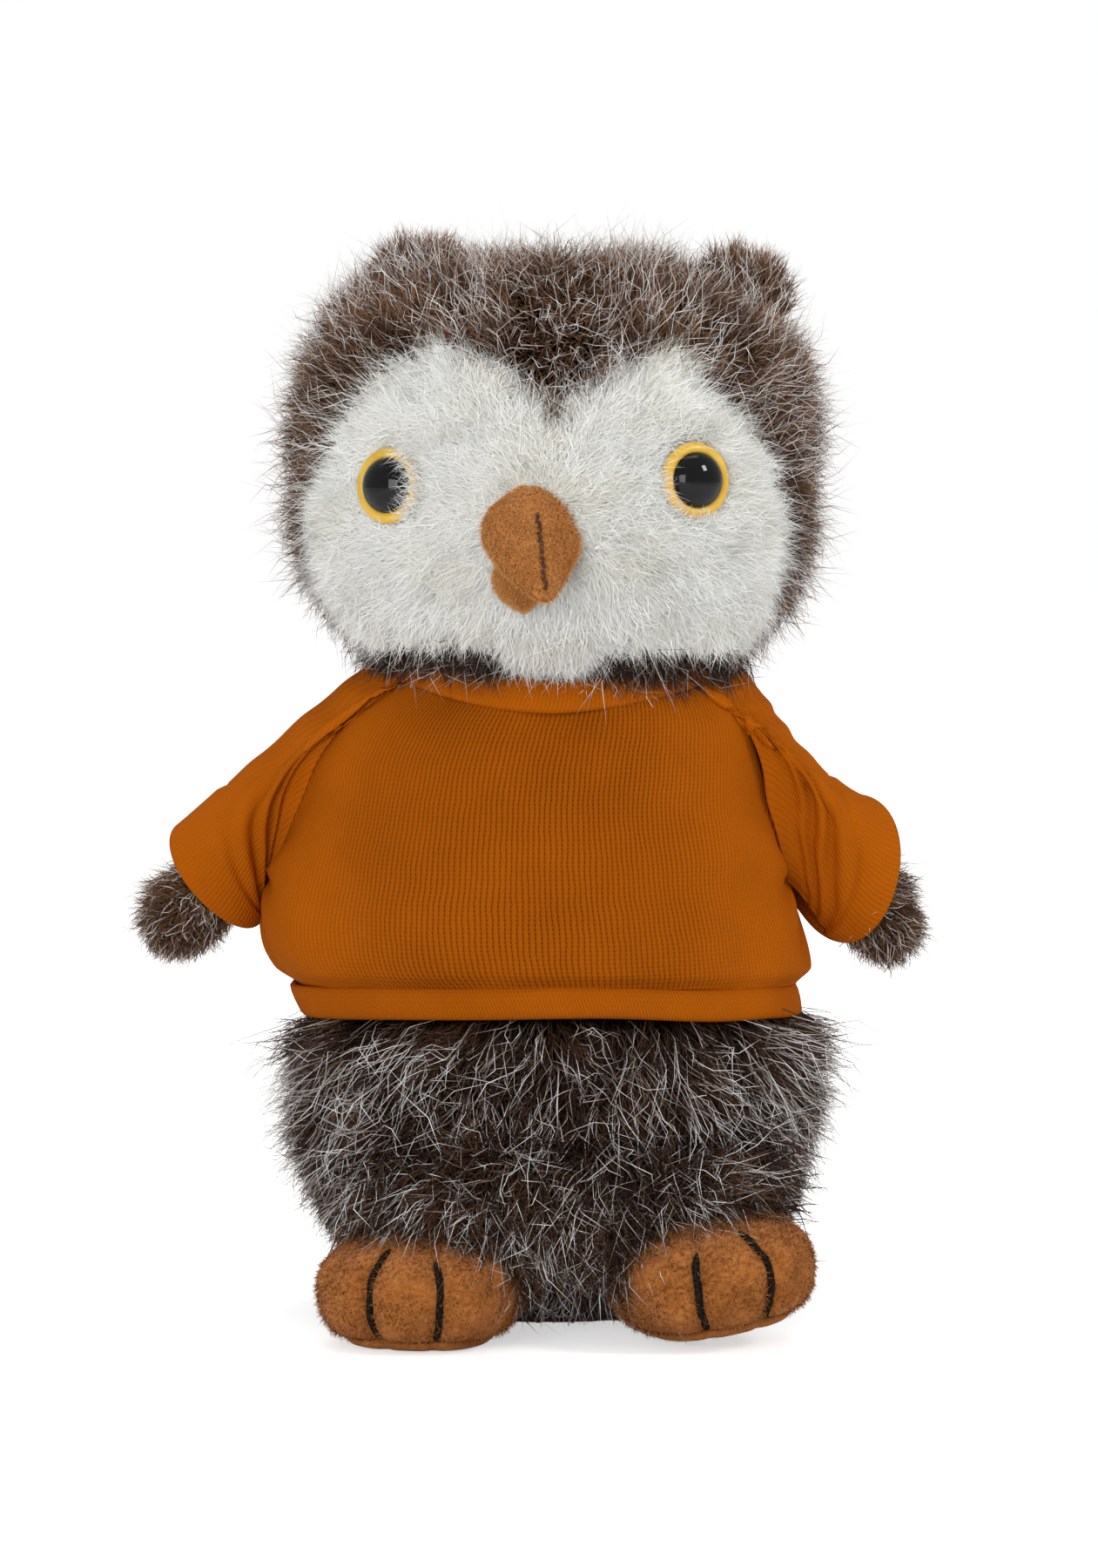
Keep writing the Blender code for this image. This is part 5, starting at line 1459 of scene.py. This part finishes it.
def fleece_paint():
    """Napped fleece: mottled tan, with painted shade in the hollows of its nap and a painted highlight on
    the short fibres that catch the light.
    """
    paint = Paint("tan_fleece", 0.92, 0.1, Sheen_Weight=0.08, Sheen_Roughness=0.6)
    nap = paint.noise(900.0, 4.0, 0.65, distortion=0.4)
    fine = paint.noise(3200.0, 2.0, 0.6)
    cloud = paint.noise(150.0, 3.0, 0.55)
    base = paint.ramp(
        cloud, (0.3, linear(156, 90, 34)), (0.55, linear(170, 102, 42)), (0.75, linear(184, 115, 53))
    )
    # Painted shade where the nap is low, then a painted highlight where it rises.
    nap_hollow_shade = paint.mix(paint.mapped(nap, 0.5, 0.25, 0.0, 0.6), base, linear(104, 58, 26))
    paint.colour(paint.mix(paint.mapped(nap, 0.55, 0.8, 0.0, 0.55), nap_hollow_shade, linear(206, 150, 96)))
    paint.bump(paint.math("MULTIPLY_ADD", fine, 0.4, nap), 0.0007)
    return paint.material


FLEECE = fleece_paint()
yarn = Paint("black_yarn", 0.9, 0.05)
yarn.colour(yarn.ramp(yarn.noise(2500.0), (0.4, linear(14, 12, 11)), (0.7, linear(44, 36, 30))))
yarn.bump(yarn.noise(3000.0), 0.0002)


def tube(name, line, radius, sides, twist, plies, taper=1.0):
    """A closed thread along a line of points, twisted from plies, that tapers where it starts."""
    line = np.asarray(line, float)
    count = len(line)
    run = unit(np.gradient(line, axis=0))
    side = unit(np.cross(run, np.array((0.3, 0.2, 1.0))))
    other = np.cross(run, side)
    far = np.concatenate([[0.0], np.cumsum(np.linalg.norm(np.diff(line, axis=0), axis=1))])
    angle = full_turn(sides)
    girth = radius * (0.82 + 0.18 * np.abs(np.cos((angle[None] * plies + twist * far[:, None]) / 2)))
    ends = np.minimum(far / taper, far[-1] - far) / radius
    girth = girth * np.sqrt(np.clip(ends, 0.04, 1.0))[:, None]
    verts = (
        line[:, None]
        + side[:, None] * (np.cos(angle) * girth)[..., None]
        + other[:, None] * (np.sin(angle) * girth)[..., None]
    ).reshape(-1, 3)
    quads = grid_quads(count, sides, True)
    verts = np.concatenate([verts, line[:1], line[-1:]])
    low = fan(len(verts) - 2, 0, sides, True)
    high = fan(len(verts) - 1, (count - 1) * sides, sides)
    return mesh_of(name, verts, quads, np.concatenate([low, high]))


def ball(columns, rows):
    """Directions all round, with their quads and the two caps."""
    tilt = (np.arange(rows) + 1) / (rows + 1) * math.pi
    tilt, turn = np.meshgrid(tilt, full_turn(columns), indexing="ij")
    way = np.stack([np.sin(tilt) * np.cos(turn), np.sin(tilt) * np.sin(turn), np.cos(tilt)], axis=-1)
    way = np.concatenate([way.reshape(-1, 3), [(0.0, 0.0, 1.0), (0.0, 0.0, -1.0)]])
    quads = grid_quads(rows, columns, True)[:, ::-1]
    top = fan(rows * columns, 0, columns)
    bottom = fan(rows * columns + 1, (rows - 1) * columns, columns, True)
    return way, quads, np.concatenate([top, bottom])


SOLE_COLUMNS = 128
for side in FEET:
    place, axes = foot_frame(side)
    way, quads, caps = ball(128, 72)
    local = foot_surface(way, side)
    sole_top = -FOOT_HALF[2] + 0.0020
    sole_low = -FOOT_HALF[2] + 0.0001
    lumps = wobble(local, 0.009, 61)[:, 0] * 0.00018
    upper = local + way * lumps[:, None]
    low = upper[:, 2] < sole_top + 0.0004
    upper[low, 2] = sole_top + 0.0004
    pinch = hill(upper[:, 2] - sole_top, 0.0008) * 0.0003
    upper -= way * LEVEL * pinch[:, None]
    skin = mesh_of(side + "_foot_fleece", place + upper @ axes, quads, caps)
    dressed(skin, side + "_foot", FLEECE, "tan_fleece", side + "_foot_upper", fill=0.8)
    turn = full_turn(SOLE_COLUMNS)
    edge = np.stack([np.cos(turn), np.sin(turn)], axis=1)
    rows = np.array(
        [
            (0.00, sole_top), (0.40, sole_top), (0.70, sole_top), (0.722, sole_top - 0.0001),
            (0.724, sole_top - 0.0005), (0.708, sole_top - 0.0011), (0.680, sole_top - 0.0016),
            (0.63, sole_low), (0.40, sole_low), (0.0, sole_low),
        ]
    )
    outline = edge * (foot_plan(edge, FOOT_HALF) ** (-1 / FOOT_FLAT))[:, None]
    outline = outline * (1 - 0.09 * toe_grooves(outline, side))[:, None]
    sole = np.concatenate(
        [
            np.concatenate([outline * share, np.full((SOLE_COLUMNS, 1), height)], axis=1)
            for share, height in np.maximum(rows, (0.0005, -1.0))
        ]
    ) + FOOT_SHIFT
    quads = grid_quads(len(rows), SOLE_COLUMNS, True)[:, ::-1]
    pad = mesh_of(side + "_sole_fleece", place + sole @ axes, quads)
    dressed(pad, side + "_foot", FLEECE, "tan_fleece", side + "_sole", fill=0.3)
    for number, (line_deg, top_deg) in enumerate(zip(TOE_LINES_DEG[side], TOE_TOPS_DEG[side]), start=1):
        polar = np.radians(np.linspace(top_deg, 117.0, 60))
        angle = math.radians(line_deg)
        ways = np.stack(
            [math.sin(angle) * np.sin(polar), -math.cos(angle) * np.sin(polar), np.cos(polar)], axis=1
        )
        line = foot_surface(ways, side) + ways * 0.0003
        line = place + line @ axes
        line = line + 0.00012 * wobble(line, 0.006, 62 + number)
        stitch = tube(f"{side}_toe_yarn_{number}", line, 0.00078, 12, 5200.0, 3, 3.0)
        dressed(stitch, side + "_foot", yarn.material, "black_yarn", f"{side}_toe_stitch_{number}")

# Nap of the feet, short fibres that blur their outline
NAP = fur_paint(
    "tan_fleece_nap",
    ((0.0, linear(140, 82, 32)), (1.0, linear(160, 98, 42))),
    ((0.0, linear(152, 90, 36)), (1.0, linear(204, 142, 80))),
    (0.0, 0.8),
)
for side in FEET:
    place, axes = foot_frame(side)
    way, quads, caps = ball(96, 54)
    local = foot_surface(way, side)
    local[:, 2] = np.maximum(local[:, 2], -FOOT_HALF[2] + 0.0024)
    points = place + local @ axes
    spots, ups = scatter(points, split(quads), int(15000 * QUICK_SHARE), 63)

    def nap_flow(at, normal, axes=axes):
        return normal * 0.5 - axes[1] * 0.2, normal * 0.3 - axes[1] * 0.4 + np.array((0.0, 0.0, -0.5))

    coat(
        side + "_foot_nap", side + "_foot", None, "tan_fleece", NAP, spots, ups, nap_flow,
        (1.0, 0.0013, 0.3, 0.00008, 1), NO_GUARD, 64, wild=0.9, clump=0.004,
    )

# Beak


def felt_paint():
    paint = Paint("tan_felt", 0.95, 0.1, Sheen_Weight=0.1, Sheen_Roughness=0.6)
    fibre = paint.noise(2200.0, 4.0, 0.7, distortion=1.0)
    cloud = paint.noise(220.0, 3.0, 0.5)
    base = paint.ramp(
        cloud, (0.3, linear(176, 110, 48)), (0.55, linear(190, 122, 58)), (0.75, linear(204, 138, 72))
    )
    # Painted highlight: the raised fibres are mixed towards a paler tan.
    paint.colour(paint.mix(paint.mapped(fibre, 0.55, 0.85, 0.0, 0.5), base, linear(204, 150, 94)))
    paint.bump(fibre, 0.00025)
    return paint.material


FELT = felt_paint()
FELT_FUZZ = fur_paint(
    "tan_felt_fuzz",
    ((0.0, linear(180, 112, 50)), (1.0, linear(202, 134, 68))),
    ((0.0, linear(212, 146, 78)), (1.0, linear(244, 200, 138))),
    (0.0, 0.8),
)
BEAK_ROWS = np.array(
    [
        (-0.30, 0.80), (0.0, 1.0), (0.22, 0.96), (0.42, 0.81),
        (0.62, 0.58), (0.80, 0.36), (0.93, 0.18), (1.0, 0.03),
    ]
)


def beak_half(name, root, along, aside_way, up, half_wide, half_tall, length, hook, seed):
    """A felt half of the beak with its fuzz. A half with a hook has a keel and a groove on top."""
    columns = 64
    rounding = np.sin(np.linspace(0, 1, 19) * math.pi / 2)
    share = np.concatenate([np.linspace(-0.30, 0.8, 26)[:-1], 0.8 + 0.2 * rounding])
    rows = len(share)
    girth = np.interp(share, BEAK_ROWS[:, 0], BEAK_ROWS[:, 1])
    window = np.hanning(7)
    girth[3:-3] = np.convolve(girth, window / window.sum(), "valid")[: rows - 6]
    girth[share > 0.93] = np.interp(share[share > 0.93], (0.93, 1.0), (girth[share <= 0.93][-1], 0.03))
    s, a = np.meshgrid(share, full_turn(columns), indexing="ij")
    g = np.broadcast_to(girth[:, None], s.shape)
    drop = hook * np.clip(s, 0, 1) ** 2
    tall = np.where(np.sin(a) < 0, half_tall * (0.62 if hook > 0 else 1.0), half_tall)
    keel = 1 - (0.42 if hook > 0 else 0.0) * np.clip(np.sin(a), 0, 1) ** 1.3
    points = (
        root
        + along * (s * length)[..., None]
        + aside_way * (half_wide * keel * g * np.cos(a) + 0.5 * drop)[..., None]
        + up * (tall * g * np.sin(a) - drop)[..., None]
    ).reshape(-1, 3)
    quads = grid_quads(rows, columns, True)
    tip = root + along * length * 1.008 + aside_way * 0.5 * hook - up * hook
    points = np.concatenate([points, [tip]])
    cap = fan(len(points) - 1, (rows - 1) * columns, columns)
    normals = point_normals(points, quads)
    normals[-1] = along
    spine = root + along * ((points - root) @ along)[:, None]
    if (normals[:-1] * (points - spine)[:-1]).sum() < 0:
        quads, cap, normals = quads[:, ::-1], cap[:, ::-1], -normals
        normals[-1] = along
    lump = wobble(points, 0.008, seed)[:, 0] * 0.00014
    aside, above = (points - root) @ aside_way, (points - root) @ up
    aside = aside - 0.5 * np.append(drop.ravel(), hook)
    lump = lump - 0.0006 * hill(aside, 0.0010) * (above > -hook) * (hook > 0)
    points = points + normals * lump[:, None]
    obj = mesh_of(name, points, quads, cap)
    dressed(obj, "head", FELT, "tan_felt", name.replace("_felt", ""), fill=0.8)
    front = quads[((points[quads].mean(1) - root) @ along) > -0.005]
    spots, ups = scatter(points, split(front), int(14000 * QUICK_SHARE), seed)

    def fuzz_flow(at, normal):
        return normal * 0.5 + along * 0.4, normal * 0.3 + along * 0.7

    coat(
        name + "_fuzz", "head", None, "tan_felt", FELT_FUZZ, spots, ups, fuzz_flow,
        (1.0, 0.0012, 0.3, 0.00007, 1), NO_GUARD, seed + 1, wild=1.1, clump=0.004,
    )


beak_half(
    "upper_beak_felt", BEAK_ROOT, BEAK_ALONG, BEAK_ACROSS, BEAK_UP,
    BEAK_HALF_WIDE, BEAK_HALF_TALL, BEAK_LENGTH, BEAK_HOOK, 71,
)
jaw_up = np.cross(JAW_ALONG, BEAK_ACROSS)
beak_half("lower_beak_felt", JAW_ROOT, JAW_ALONG, BEAK_ACROSS, jaw_up, 0.0050, 0.0040, 0.0078, 0.0, 73)

brown_thread = Paint("brown_thread", 0.75, 0.25)
brown_thread.colour(
    brown_thread.ramp(brown_thread.noise(2600.0), (0.35, linear(44, 20, 12)), (0.7, linear(96, 52, 32)))
)
brown_thread.bump(brown_thread.noise(3000.0), 0.0002)
share = np.linspace(0.22, 0.93, 90)
top = np.interp(share, BEAK_ROWS[:, 0], BEAK_ROWS[:, 1]) * BEAK_HALF_TALL - BEAK_HOOK * share**2
line = BEAK_ROOT + BEAK_ALONG * (share * BEAK_LENGTH)[:, None] + BEAK_UP * (top - 0.0002)[:, None]
wander = 0.00014 * np.sin(share * 95.0) + 0.00012 * np.sin(share * 37.0) + 0.0008 * share**2
line += BEAK_ACROSS * wander[:, None]
line += BEAK_UP * (0.00018 * np.cos(share * 95.0))[:, None]
seam = tube("beak_seam_thread", line, 0.00038, 10, 4200.0, 2)
dressed(seam, "head", brown_thread.material, "brown_thread", "beak_seam")

# Eyes


def turned(name, place, outward, profile, sides):
    """A profile of (radius, height) turned round an eye's axis, closed at its ends on the axis."""
    place, outward = np.array(place), unit(np.array(outward))
    side = unit(np.cross(UP, outward))
    up = np.cross(outward, side)
    angle = full_turn(sides)
    profile = np.array(profile)
    radius, height = profile[:, 0][:, None], profile[:, 1][:, None]
    verts = (
        place
        + outward * np.broadcast_to(height, (len(profile), sides))[..., None]
        + side * (radius * np.cos(angle))[..., None]
        + up * (radius * np.sin(angle))[..., None]
    ).reshape(-1, 3)
    return mesh_of(name, verts, grid_quads(len(profile), sides, True))


plate_paint = Paint("eye_yellow", 0.3, 0.4)
plate_paint.colour(
    plate_paint.ramp(
        plate_paint.noise(260.0, 3.0), (0.3, linear(200, 156, 44)), (0.7, linear(222, 180, 64))
    )
)
plate_paint.bump(plate_paint.noise(900.0), 0.00002)
button_paint = Paint("eye_black", 0.04, 0.25)
button_paint.colour(
    button_paint.ramp(button_paint.noise(300.0), (0.4, linear(4, 3, 3)), (0.7, linear(9, 8, 7)))
)
EYE_SIDES = 72
BUTTON_RADIUS = 0.00545
for side, (place, outward) in EYES.items():
    plate_rows = [(0.0019, 0.0001), (0.0019, 0.0007), (0.0050, 0.0008), (0.0054, 0.0013)]
    for step in np.linspace(0, 1, 12):
        angle = step * math.pi / 2
        plate_rows.append((0.0060 + 0.0015 * math.sin(angle), 0.0003 + 0.0013 * math.cos(angle)))
    plate_rows += [(0.0073, -0.0001), (0.0019, -0.0001)]
    plate = turned(side + "_eye_plate_yellow", place, outward, plate_rows, EYE_SIDES)
    dressed(plate, "head", plate_paint.material, "eye_yellow", side + "_eye_plate")
    dome = [(0.0016, -0.0125), (0.0016, 0.0009), (0.0052, 0.0009), (BUTTON_RADIUS, 0.0010)]
    for step in np.linspace(0, 1, 24)[:-1]:
        angle = step * math.pi / 2
        dome.append((BUTTON_RADIUS * math.cos(angle), 0.0011 + 0.0032 * math.sin(angle)))
    dome.append((0.00001, 0.0043))
    button = turned(side + "_eye_button_black", place, outward, dome, EYE_SIDES)
    dressed(button, "head", button_paint.material, "eye_black", side + "_eye_button")

# What lies inside, with the weave or fibre of its own


def inner_paint(name, low, high, scale, rough=0.95):
    paint = Paint(name, rough, 0.15)
    grain = paint.noise(scale, 4.0, 0.65)
    paint.colour(paint.ramp(grain, (0.35, low), (0.7, high)))
    paint.bump(grain, 0.0005)
    return paint.material


FILL = inner_paint("fibre_fill", linear(212, 212, 208), linear(240, 240, 238), 700.0)
BAG = inner_paint("bag_cloth", linear(140, 140, 142), linear(172, 172, 174), 1800.0)
PANEL = inner_paint("base_cloth", linear(44, 30, 22), linear(76, 56, 42), 1500.0)
WASHER = inner_paint("washer_white", linear(214, 214, 208), linear(230, 230, 226), 300.0, 0.5)
INNER = [
    (body + "_stuffing", body, FILL, "fibre_fill")
    for body in ("torso", "head", "left_wing", "right_wing", "left_foot", "right_foot")
]
INNER += [("pellet_bag", "torso", BAG, "bag_cloth"), ("base_panel", "torso", PANEL, "brown_fur")]
for name, body, material, slot in INNER:
    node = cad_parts[name]
    soft = node.data.copy()
    inner = bpy.data.objects.new(name + "_soft", soft)
    bpy.context.scene.collection.objects.link(inner)
    inner.matrix_world = node.matrix_world.copy()
    soft.materials.clear()
    work = bmesh.new()
    work.from_mesh(soft)
    bmesh.ops.remove_doubles(work, verts=work.verts, dist=0.00002)
    bmesh.ops.triangulate(work, faces=work.faces)
    bmesh.ops.subdivide_edges(work, edges=work.edges, cuts=1, use_grid_fill=True)
    bmesh.ops.smooth_vert(
        work, verts=work.verts, factor=0.5, use_axis_x=True, use_axis_y=True, use_axis_z=True
    )
    work.to_mesh(soft)
    work.free()
    at = np.empty(len(soft.vertices) * 3)
    soft.vertices.foreach_get("co", at)
    at = at.reshape(-1, 3)
    middle = at.mean(0)
    lump = wobble(at, 0.012, 81)[:, :1] * 0.004
    at = at - (at - middle) * (0.006 + np.abs(lump))
    soft.vertices.foreach_set("co", at.ravel())
    soft.polygons.foreach_set("use_smooth", [True] * len(soft.polygons))
    dressed(inner, body, material, slot, name, fill=0.9)
for side in EYES:
    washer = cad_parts[side + "_eye_washer"].data
    washer.materials.clear()
    washer.materials.append(WASHER)

# Stage, light and camera


def camera_or(tree, ray):
    """1 for the camera's own rays and one other kind, 0 for the rest."""
    rays = tree.nodes.new("ShaderNodeLightPath")
    seen = tree.nodes.new("ShaderNodeMath")
    seen.operation = "MAXIMUM"
    tree.links.new(rays.outputs["Is Camera Ray"], seen.inputs[0])
    tree.links.new(rays.outputs[ray], seen.inputs[1])
    return seen.outputs[0]


def white_paint(name, level, add):
    """Pale floor that shows white to the camera and keeps the object's shadow."""
    material = bpy.data.materials.new(name)
    material.use_nodes = True
    tree = material.node_tree
    shader = tree.nodes["Principled BSDF"]
    shader.inputs["Base Color"].default_value = (level, level, level, 1.0)
    shader.inputs["Roughness"].default_value = 0.9
    shader.inputs["Specular IOR Level"].default_value = 0.0
    shader.inputs["Emission Color"].default_value = (1.0, 1.0, 1.0, 1.0)
    seen = camera_or(tree, "Is Glossy Ray")
    glow = tree.nodes.new("ShaderNodeMath")
    glow.operation = "MULTIPLY"
    glow.inputs[1].default_value = add
    tree.links.new(seen, glow.inputs[0])
    tree.links.new(glow.outputs[0], shader.inputs["Emission Strength"])
    return material


FLOOR_HALF, FLOOR_LOW = 6, -0.0002
corners = [(x * FLOOR_HALF, y * FLOOR_HALF, FLOOR_LOW) for x, y in ((-1, -1), (1, -1), (1, 1), (-1, 1))]
floor = mesh_of("floor", np.array(corners), [(0, 1, 2, 3)])
floor.data.materials.append(white_paint("pale_floor", 0.80, 0.56))

world = bpy.data.worlds.new("studio")
bpy.context.scene.world = world
world.use_nodes = True
tree = world.node_tree
sky = tree.nodes["Background"]
seen = camera_or(tree, "Is Transmission Ray")
strength = tree.nodes.new("ShaderNodeMapRange")
strength.inputs["To Min"].default_value = 0.66
strength.inputs["To Max"].default_value = 1.0
tree.links.new(seen, strength.inputs["Value"])
tree.links.new(strength.outputs[0], sky.inputs["Strength"])
sky.inputs["Color"].default_value = (1.0, 1.0, 1.0, 1.0)
LIGHT_AIM = Vector((0.0, 0.0, 0.1))


def area_light(name, place, size, energy):
    """A lamp that shines on the middle of the object."""
    data = bpy.data.lights.new(name, "AREA")
    data.shape = "RECTANGLE"
    data.size, data.size_y = size
    data.energy = energy
    lamp = bpy.data.objects.new(name, data)
    lamp.location = place
    lamp.rotation_mode = "QUATERNION"
    lamp.rotation_quaternion = (LIGHT_AIM - Vector(place)).to_track_quat("-Z", "Y")
    bpy.context.scene.collection.objects.link(lamp)


area_light("key", (1.10, -0.55, 0.85), (0.24, 0.32), 5.6)
area_light("front", (-0.50, -1.38, 0.36), (0.9, 0.6), 9.6)
area_light("top", (0.0, 0.25, 1.35), (1.0, 0.8), 7.5)

camera = bpy.data.objects.new("camera", bpy.data.cameras.new("camera"))
camera.data.sensor_fit = "VERTICAL"
camera.data.sensor_height = 36.0
camera.data.lens = CAMERA_LENS
camera.data.clip_start = 0.01
camera.data.clip_end = 50.0
camera.location = CAMERA_PLACE
camera.rotation_euler = (math.radians(90.0 - CAMERA_PITCH_DEG), 0.0, 0.0)
bpy.context.scene.collection.objects.link(camera)
bpy.context.scene.camera = camera
bpy.context.scene.view_settings.view_transform = "Standard"
